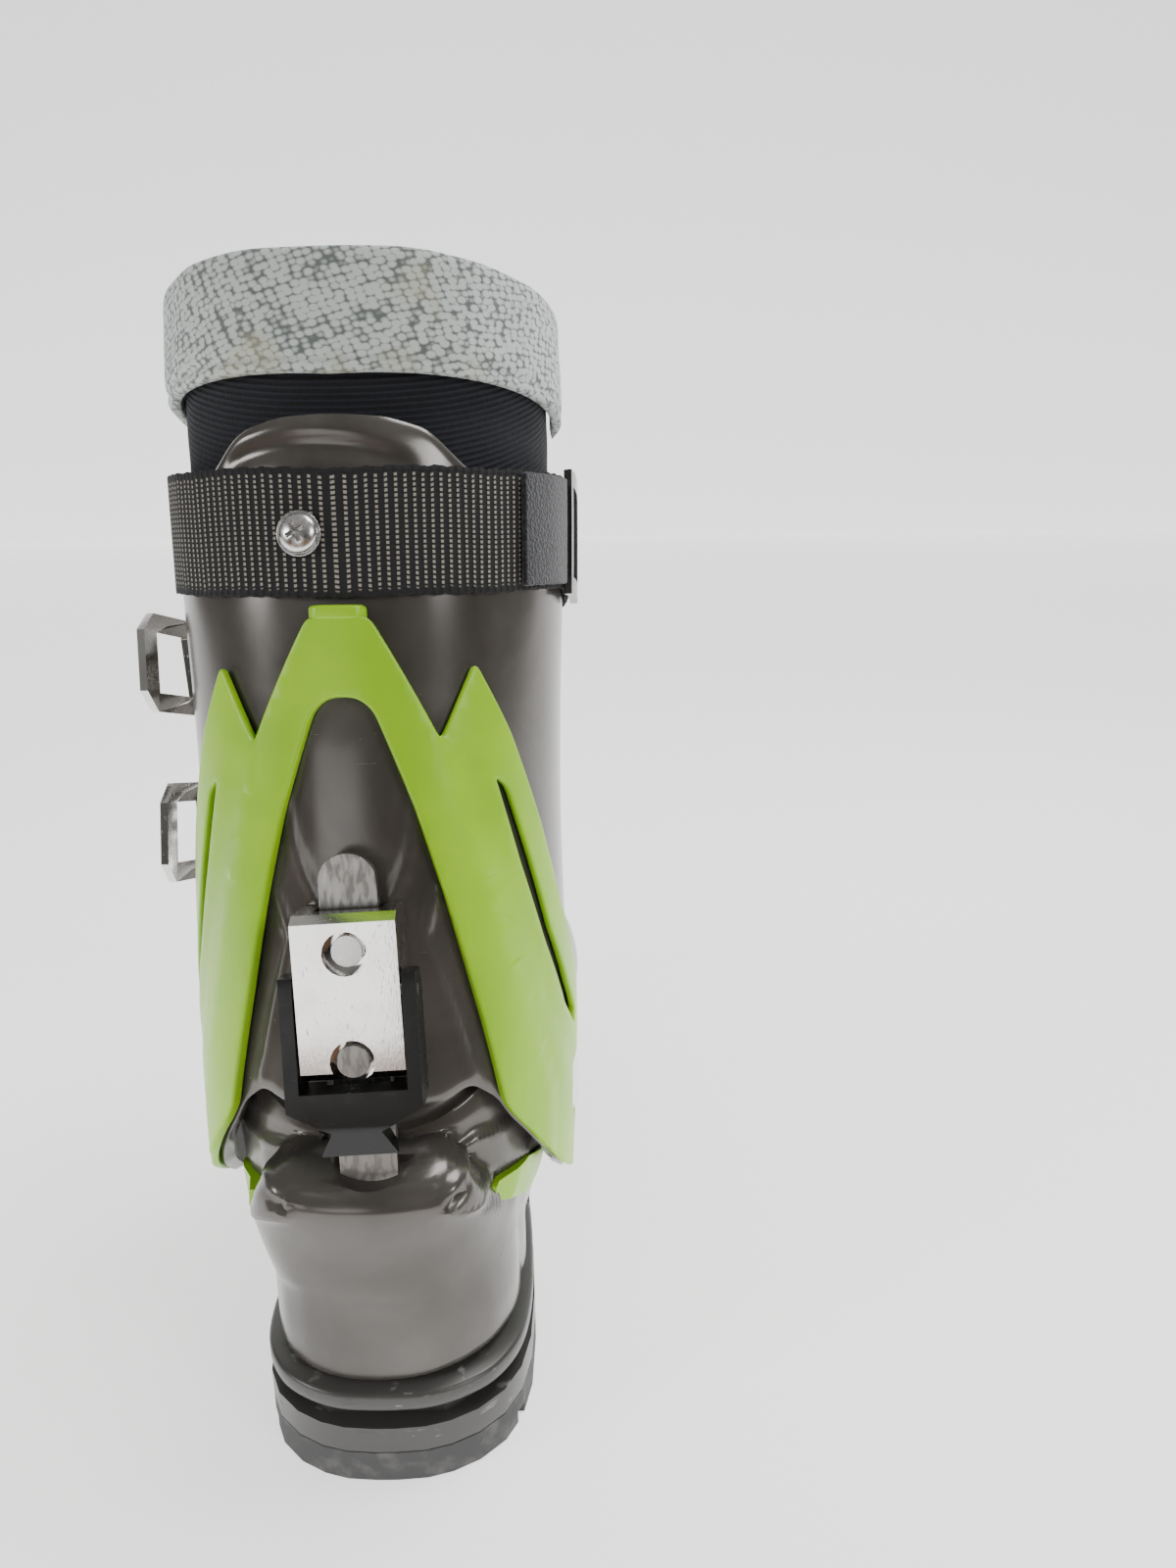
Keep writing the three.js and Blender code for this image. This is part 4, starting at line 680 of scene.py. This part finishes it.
lower = shaped_grid("lower_shell_skin", 150, 190, lambda u, v: heel_skirt(tuck(foot_surface(u, v))))
push_out(lower, wing_relief)
bpy.context.view_layer.objects.active = lower
wall = lower.modifiers.new("wall", "SOLIDIFY")
wall.thickness = SHELL_WALL * MM
wall.offset = -1.0
wall.use_even_offset = False
bpy.ops.object.modifier_apply(modifier=wall.name)
bpy.ops.mesh.primitive_cylinder_add(
    vertices=64,
    radius=16.6 * MM,
    depth=22 * MM,
    location=(-0.5 * MM, -34 * MM, 107.6 * MM),
    rotation=(math.pi / 2, 0, 0),
)
cut_away(lower, bpy.context.object)
finish_piece(lower, grey, "boot", ["lower_shell"], angle=45)

# ---------------------------------------------------------------- sole
# Two flanges of grey moulded plastic stand proud of a deep groove at heel and toe and carry the
# rubber; the rubber plate is matte, and the tread blocks screwed and glued beneath it are coloured near
# black.
sole_grey = Finish("sole_plastic", Base_Color=rgb(0.12, 0.115, 0.108), Roughness=0.36, Metallic=0.1)
sole_scuff = sole_grey.band(sole_grey.noise(2.2, 4.0, stretch=(3, 3, 0.8)), 0.62, 0.72)
sole_wear = sole_grey.band(sole_grey.noise(30, 2.0), 0.45, 0.6)
sole_grey_tone = sole_grey.mix(
    sole_scuff * sole_wear * 0.7, rgb(0.062, 0.06, 0.056), rgb(0.3, 0.29, 0.28)
)
sole_grey.drive("Base Color", sole_grey_tone)
sole_grey.drive("Roughness", sole_scuff * 0.25 + 0.33)
sole_grey.bump(sole_grey.noise(1.2, 3.0) * 0.5, 0.08, 0.4)

rubber = Finish("sole_rubber", Base_Color=rgb(0.13, 0.13, 0.13), Roughness=0.75)
rubber_dust = rubber.band(rubber.noise(6, 4.0), 0.45, 0.7)
rubber.drive("Base Color", rubber.mix(rubber_dust * 0.6, rgb(0.06, 0.06, 0.06), rgb(0.15, 0.147, 0.14)))
rubber.drive("Roughness", rubber.noise(3) * 0.2 + 0.65)
rubber.bump(rubber.noise(0.5, 3.0), 0.08, 0.6)

# Near-black colour for the tread blocks beneath the rubber plate.
tread_black = Finish("near_black_tread", Base_Color=rgb(0.012, 0.012, 0.013), Roughness=0.7)
tread_black.drive("Roughness", tread_black.noise(4) * 0.2 + 0.6)
tread_black.bump(tread_black.noise(0.6, 3.0), 0.1, 0.5)


def sole_outline(u):
    """A closed outline: u 0 to 1 runs from the heel up the inner side to the toe and back."""
    around = np.where(u < 0.5, u * 2, 2 - u * 2)
    row = curve_through(SOLE_STATIONS, np.clip(around * 17, 0, 16.999))
    ends = (u < 1e-6) | (u > 1 - 1e-6) | (np.abs(u - 0.5) < 1e-6)
    half = np.where(ends, 0, row[:, 1]) * np.where(u < 0.5, 1, -1)
    return np.stack([row[:, 2] + half, row[:, 0]], 1)


def flange(profile):
    """Places a band round the sole; profile rows are (set in, height), and the waist is set in more."""
    rows = np.array(profile, float)

    def place(u, v):
        row = rows[np.round(v * (len(rows) - 1)).astype(int)]
        edge = sole_outline(u)
        step = sole_outline((u + 0.004) % 1) - sole_outline((u - 0.004) % 1)
        inward = np.stack([-step[:, 1], step[:, 0]], 1)
        inward /= np.maximum(np.linalg.norm(inward, axis=1, keepdims=True), 1e-9)
        waist = smooth(edge[:, 1], 46, 56) * (1 - smooth(edge[:, 1], 194, 206))
        spot = edge + inward * (row[:, 0] + WAIST_SET_IN * waist)[:, None]
        toe = 9 * (np.clip(spot[:, 1] - 185, 0, None) / 82) ** 2
        return np.stack([spot[:, 0], spot[:, 1], row[:, 1] + toe], 1)

    return place


WAIST_SET_IN = 7.0
WELT = [(9, 23.6), (1.2, 23.4), (0.5, 23.7), (0.2, 24.5), (0.2, 27.6), (0.5, 28.4), (1.3, 28.8),
        (4, 29.2), (9, 30.5), (9, 23.6)]
welt = shaped_grid("lower_shell_welt", 240, len(WELT) - 1, flange(WELT))
finish_piece(welt, sole_grey, "boot", angle=50)

# ---------------------------------------------------------------- liner
# Inside the cuff stands a soft liner: a ribbed navy leg, a tongue in front, and round the top a
# padded collar in coarse pale knit, sewn down at its lower edge, with a raw brown lining above it.
LINER_OUTER = -(CUFF_WALL + 0.75)
LINER_LOW = [(0, 38), (40, 46), (70, 58), (90, 68), (115, 86), (180, 92), (214, 92)]
LINER_TOP = [(0, 232), (60, 234), (90, 236), (150, 240), (214, 240)]

navy = Finish("ribbed_navy", Base_Color=rgb(0.012, 0.014, 0.022), Roughness=0.85)
leaning = navy.place(turn=(math.radians(-15), 0, 0))
navy_place = navy.node("ShaderNodeSeparateXYZ", {}, {"Vector": leaning}, "Z")
navy_wave = navy.node("ShaderNodeMath", {"operation": "SINE"}, {0: navy_place * (2 * math.pi / (1.5 * MM))})
navy_fuzz = navy.noise(1.2, 3.0)
navy_tone = navy.mix(
    navy.band(navy_wave, -0.2, 0.9), rgb(0.004, 0.005, 0.008), rgb(0.014, 0.016, 0.024)
)
navy.drive("Base Color", navy_tone)
navy.drive("Roughness", navy_fuzz * 0.15 + 0.8)
navy.bump(navy_wave * 0.5 + navy_fuzz, 0.25, 0.8)

knit = Finish("pale_knit", Base_Color=rgb(0.55, 0.6, 0.58), Roughness=0.95)
knit.shader.inputs["Sheen Weight"].default_value = 0.3
cells = knit.place((1 / (2.4 * MM), 1 / (2.4 * MM), 1 / (1.7 * MM)), (0.25, 0.35, 0))
cell_values = {"Vector": cells, "Scale": 1.0, "Randomness": 0.45}
loop_gap = knit.node("ShaderNodeTexVoronoi", {}, cell_values, "Distance")
holes = 1 - knit.band(loop_gap, 0.42, 0.75)
stain = knit.band(knit.noise(26, 3.0), 0.58, 0.72)
knit_tone = knit.mix(holes, rgb(0.14, 0.16, 0.155), rgb(0.6, 0.66, 0.635))
knit.drive("Base Color", knit.mix(stain * 0.4, knit_tone, rgb(0.5, 0.47, 0.3)))
knit.drive("Roughness", holes * 0.05 + 0.9)
knit.bump(holes + knit.noise(1.0, 3.0) * 0.4, 0.35, 0.9)

raw_edge = Finish("raw_brown_lining", Base_Color=rgb(0.16, 0.1, 0.06), Roughness=0.95)
raw_fibre = raw_edge.noise(0.9, 4.0)
raw_edge_tone = raw_edge.mix(
    raw_edge.band(raw_fibre, 0.4, 0.6), rgb(0.1, 0.06, 0.035), rgb(0.3, 0.21, 0.14)
)
raw_edge.drive("Base Color", raw_edge_tone)
raw_edge.bump(raw_fibre, 0.3, 0.9)


def soft_waves(angle, height, size):
    """Slow unevenness of padded cloth, in millimetres."""
    return size * (
        np.sin(angle * 0.13 + height * 0.05)
        + 0.6 * np.sin(angle * 0.31 - height * 0.11 + 2)
        + 0.5 * np.sin(height * 0.35 + angle * 0.07)
    )


def liner_wall(first, last, taller):
    def place(u, v):
        angle = first + (last - first) * u
        low, high = along_table(LINER_LOW, angle), along_table(LINER_TOP, angle) + taller
        height = low + (high - low) * v
        edge = np.minimum(high - height, 30)
        roll = -2.2 * (1 - smooth(edge, 0, 3.0))
        return leg_point(angle, height, LINER_OUTER + soft_waves(angle, height, 0.12) + roll - 0.2)

    return place


leg = shaped_grid("liner_leg_wall", 200, 110, liner_wall(-146, 146, 0), merge=False)
finish_piece(leg, navy, "cuff", ["liner_leg"], wall=7.6, bevel=1.4, angle=60)
tongue = shaped_grid("liner_tongue_wall", 60, 110, liner_wall(146.6, 213, 8), merge=False)
finish_piece(tongue, navy, "cuff", ["liner_tongue"], wall=7.6, bevel=1.4, angle=60)


def collar(u, v):
    angle = -104 + 208 * u
    low = np.interp(np.abs(angle), [0, 104], [201.5, 207])
    high = along_table(LINER_TOP, angle) + 1.2
    turn = 2 * math.pi * v
    end = np.clip(1 - np.abs(2 * u - 1) ** 24, 0.02, 1) ** 0.5
    tight = lambda w, p: np.sign(w) * np.abs(w) ** p
    across = tight(np.cos(turn), 0.45)
    up = tight(np.sin(turn), 0.3)
    height = (low + high) / 2 + (high - low) / 2 * up
    hem = 0.8 * np.exp(-(((height - low - 3.2) / 1.1) ** 2))
    outer_waves = (soft_waves(angle, height, 0.28) - hem) * (across > 0)
    offset = LINER_OUTER + 0.6 + 2.2 + 2.1 * across * end + outer_waves
    return leg_point(angle, height, offset)


pad = shaped_grid("liner_collar", 260, 64, collar)
finish_piece(pad, knit, "cuff", ["liner_collar_pad"], angle=80)


def lining_edge(u, v):
    angle = -146 + 292 * u
    turn = 2 * math.pi * v
    fray = 0.35 * np.sin(angle * 2.3) + 0.3 * np.sin(angle * 5.1 + 1) + 0.25 * np.sin(angle * 11.7)
    height = along_table(LINER_TOP, angle) + 1.0 + 0.25 * fray + (1.0 + 0.35 * fray) * np.sin(turn)
    return leg_point(angle, height, LINER_OUTER - 1.0 + 1.3 * np.cos(turn))


edge_strip = shaped_grid("liner_lining_edge", 420, 12, lining_edge)
finish_piece(edge_strip, raw_edge, "cuff", angle=80)

# ---------------------------------------------------------------- power strap
# A woven black strap with raised cream ribs goes once round the top of the cuff, screwed down
# behind. A hook-and-loop patch closes it and a smoky plastic ring turns its end.
STRAP_MIDDLE = [(0, 160), (40, 163), (80, 170), (120, 168), (180, 160), (200, 160)]
STRAP_WIDE = 33.0

webbing = Finish("ribbed_webbing", Base_Color=rgb(0.01, 0.01, 0.01), Roughness=0.9)
web_u = webbing.node("ShaderNodeSeparateXYZ", {}, {"Vector": webbing.node("ShaderNodeUVMap", {}, {})}, "X")
web_v = webbing.node("ShaderNodeSeparateXYZ", {}, {"Vector": webbing.node("ShaderNodeUVMap", {}, {})}, "Y")
column = webbing.node("ShaderNodeMath", {"operation": "SINE"}, {0: web_u * (2 * math.pi * 158)})
dash = webbing.node("ShaderNodeMath", {"operation": "SINE"}, {0: web_v * (2 * math.pi * 25)})
thread = webbing.band(column, 0.35, 0.75) * webbing.band(dash + webbing.noise(1.4, 2.0) * 0.8, -0.1, 0.5)
inside = webbing.band(web_v, 0.04, 0.07) * (1 - webbing.band(web_v, 0.93, 0.96))
webbing.drive("Base Color", webbing.mix(thread * inside, rgb(0.01, 0.01, 0.011), rgb(0.34, 0.32, 0.27)))
webbing.drive("Roughness", thread * 0.05 + 0.85)
webbing.bump(webbing.band(column, -0.4, 0.8) + dash * 0.15, 0.35, 0.9)

fuzz = Finish("hook_and_loop", Base_Color=rgb(0.008, 0.009, 0.014), Roughness=1.0)
fuzz.shader.inputs["Sheen Weight"].default_value = 0.4
loops = fuzz.noise(0.9, 5.0)
fuzz_tone = fuzz.mix(
    fuzz.band(loops, 0.45, 0.65), rgb(0.005, 0.006, 0.01), rgb(0.03, 0.033, 0.042)
)
fuzz.drive("Base Color", fuzz_tone)
fuzz.bump(loops, 0.6, 1.0)


def cuff_outside(angle):
    return flap_rise(angle) + np.where(angle < -149.9, FLAP_RISE, 0)


def strap_layer(first, last, lift, wide, wavy):
    """A band round the leg: u goes along the webbing and v across it."""

    def place(u, v):
        angle = first + (last - first) * u
        edge = wavy * (np.sin(angle * 1.1) + 0.7 * np.sin(angle * 2.7 + 1))
        middle = along_table(STRAP_MIDDLE, angle)
        height = middle + (wide / 2 + edge * 0.4) * (2 * v - 1)
        ripple = 0.15 * np.sin(angle * 0.5 + 2 * v)
        return leg_point(angle, height, cuff_outside(angle) * (np.abs(angle) > 100) + lift + ripple * wavy)

    return place


webbing_layer = strap_layer(-180, 179.2, 0.45, STRAP_WIDE, 0.5)
strap = shaped_grid("strap_webbing", 420, 24, webbing_layer, merge=False)
finish_piece(strap, webbing, "cuff", ["power_strap"], wall=1.5, outward=True, bevel=0.25, angle=60)
patch = shaped_grid("strap_patch", 40, 24, strap_layer(50, 74, 2.6, 31, 0.2), merge=False)
finish_piece(patch, fuzz, "cuff", ["strap_velcro"], wall=1.7, outward=True, bevel=0.5, angle=60)

# ---------------------------------------------------------------- strap screw
# A domed zinc screw with a cross recess holds the strap through a plain washer.
zinc = Finish("zinc_plate", Base_Color=rgb(0.75, 0.75, 0.74), Roughness=0.25, Metallic=1.0)
zinc_wear = zinc.noise(1.5, 4.0)
zinc_tone = zinc.mix(
    zinc.band(zinc_wear, 0.4, 0.65), rgb(0.6, 0.59, 0.58), rgb(0.72, 0.72, 0.71)
)
zinc.drive("Base Color", zinc_tone)
zinc.drive("Roughness", zinc_wear * 0.25 + 0.14)
zinc.bump(zinc.noise(0.6, 2.0), 0.02, 0.3)

seat = Vector(leg_point(np.array([-7.0]), np.array([160.0]), 3.4)[0] * MM)
tip = Vector(leg_point(np.array([-7.0]), np.array([160.0]), 10.0)[0] * MM)
facing = (tip - seat).normalized()
aim = facing.to_track_quat("Z", "Y")
bpy.ops.object.select_all(action="DESELECT")
bpy.ops.mesh.primitive_uv_sphere_add(segments=48, ring_count=32, radius=1)
screw = bpy.context.object
screw.name = screw.data.name = "strap_screw_head"
for vertex in screw.data.vertices:
    x, y, z = vertex.co
    vertex.co = Vector((x * 5.2 * MM, y * 5.2 * MM, (max(z, 0) * 2.6 + min(z, 0) * 1.2) * MM))
for turn in (0.5, 0.5 + math.pi / 2):
    bpy.ops.mesh.primitive_cube_add(size=1, location=(0, 0, 2.4 * MM), rotation=(0, 0, turn))
    blade = bpy.context.object
    blade.scale = (5.4 * MM, 1.25 * MM, 3.0 * MM)
    bpy.ops.object.transform_apply(location=True, rotation=True, scale=True)
    cut_away(screw, blade)
screw.data.transform(aim.to_matrix().to_4x4())
for vertex in screw.data.vertices:
    vertex.co += seat
screw.data.update()
finish_piece(screw, zinc, "cuff", ["strap_screw"], bevel=0.12, angle=30)

# ---------------------------------------------------------------- hard parts of the frame
# The lock, the buckles, the rivets and the sole keep their exact solids, which are turned metal and
# moulded plastic; they only get rounded edges and their finishes.
chrome = Finish("polished_steel", Base_Color=rgb(0.8, 0.79, 0.77), Roughness=0.12, Metallic=1.0)
polish = chrome.noise(0.9, 2.0, stretch=(0.5, 0.5, 25), turn=(0.3, 0.2, 0.1))
chrome_tone = chrome.mix(
    chrome.band(chrome.noise(9, 4.0), 0.4, 0.7), rgb(0.83, 0.82, 0.8), rgb(0.74, 0.72, 0.69)
)
chrome.drive("Base Color", chrome_tone)
chrome.drive("Roughness", chrome.band(polish, 0.62, 0.75) * 0.25 + 0.1)
chrome.bump(polish, 0.03, 0.35)

worn_steel = Finish("mottled_steel", Base_Color=rgb(0.6, 0.59, 0.57), Roughness=0.32, Metallic=1.0)
mottle = worn_steel.noise(1.6, 5.0, stretch=(1, 1, 4))
worn_steel_tone = worn_steel.mix(
    worn_steel.band(mottle, 0.45, 0.6), rgb(0.36, 0.35, 0.33), rgb(0.24, 0.235, 0.225)
)
worn_steel.drive("Base Color", worn_steel_tone)
worn_steel.drive("Roughness", mottle * 0.3 + 0.2)
worn_steel.bump(mottle, 0.05, 0.4)

black = Finish("black_plastic", Base_Color=rgb(0.006, 0.006, 0.006), Roughness=0.28)
black.shader.inputs["Specular IOR Level"].default_value = 0.35
black_mark = black.band(black.noise(1.5, 3.0, stretch=(8, 0.6, 0.6)), 0.68, 0.76)
black.drive("Base Color", black.mix(black_mark * 0.5, rgb(0.006, 0.006, 0.006), rgb(0.12, 0.12, 0.12)))
black.drive("Roughness", black.noise(5) * 0.2 + 0.2)
black.bump(black.noise(0.8, 2.0), 0.03, 0.3)

smoky = Finish("smoky_plastic", Base_Color=rgb(0.05, 0.048, 0.045), Roughness=0.15)
smoky.shader.inputs["Transmission Weight"].default_value = 0.45
smoky.shader.inputs["IOR"].default_value = 1.5
smoky.drive("Roughness", smoky.noise(4) * 0.15 + 0.1)

soft_foam = Finish("grey_foam", Base_Color=rgb(0.06, 0.06, 0.065), Roughness=0.95)
soft_foam.bump(soft_foam.noise(1.0, 3.0), 0.2, 0.6)
soft_foam.drive("Roughness", soft_foam.noise(2) * 0.1 + 0.88)

HARD = [
    (sole_grey, 1.1, ["sole_frame"]),
    (rubber, 0.8, ["outsole"]),
    (tread_black, 0.5, ["tread_heel", "tread_toe"]),
    (grey, 0.6, ["instep_flap"]),
    (soft_foam, 0.0, ["boot_board", "insole", "liner_foot"]),
    (lime, 0.4, ["ankle_inlay_medial", "ankle_inlay_lateral"]),
    (chrome, 0.5, ["walk_bracket"]),
    (worn_steel, 0.35, ["walk_bar", "lock_bar_pin", "lock_pin"]),
    (zinc, 0.2, ["walk_screw", "walk_lever_pin", "strap_washer"]),
    (zinc, 0.2, ["bracket_screw_medial", "bracket_screw_lateral"]),
    (chrome, 0.3, ["pivot_rivet_medial", "pivot_rivet_lateral"]),
    (black, 0.6, ["walk_lever"]),
    (smoky, 0.4, ["strap_ring"]),
]
for which in ("upper", "middle", "instep", "toe"):
    edge_width = 0.12 if which == "toe" else 0.3
    HARD.append((chrome, edge_width, [f"{which}_buckle_{part}" for part in ("base", "lever")]))
    HARD.append((chrome, 0.2, [f"{which}_buckle_bail"]))
    HARD.append((worn_steel, 0.2, [f"{which}_buckle_{part}" for part in ("ladder", "rivet", "lever_pin")]))
for finish, bevel, names in HARD:
    for name in names:
        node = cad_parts[name]
        node.data.materials.clear()
        node.data.materials.append(finish.material)
        bpy.ops.object.select_all(action="DESELECT")
        node.select_set(True)
        bpy.context.view_layer.objects.active = node
        bpy.ops.mesh.customdata_custom_splitnormals_clear()
        bpy.ops.object.shade_smooth()
        weld = node.modifiers.new("weld", "WELD")
        weld.merge_threshold = 0.00001
        if bevel:
            rounded = node.modifiers.new("rounded", "BEVEL")
            rounded.width = bevel * MM
            rounded.segments = 3
            rounded.limit_method = "ANGLE"
            rounded.angle_limit = math.radians(30)
        even = node.modifiers.new("even", "WEIGHTED_NORMAL")
        even.weight = 60
        even.keep_sharp = False
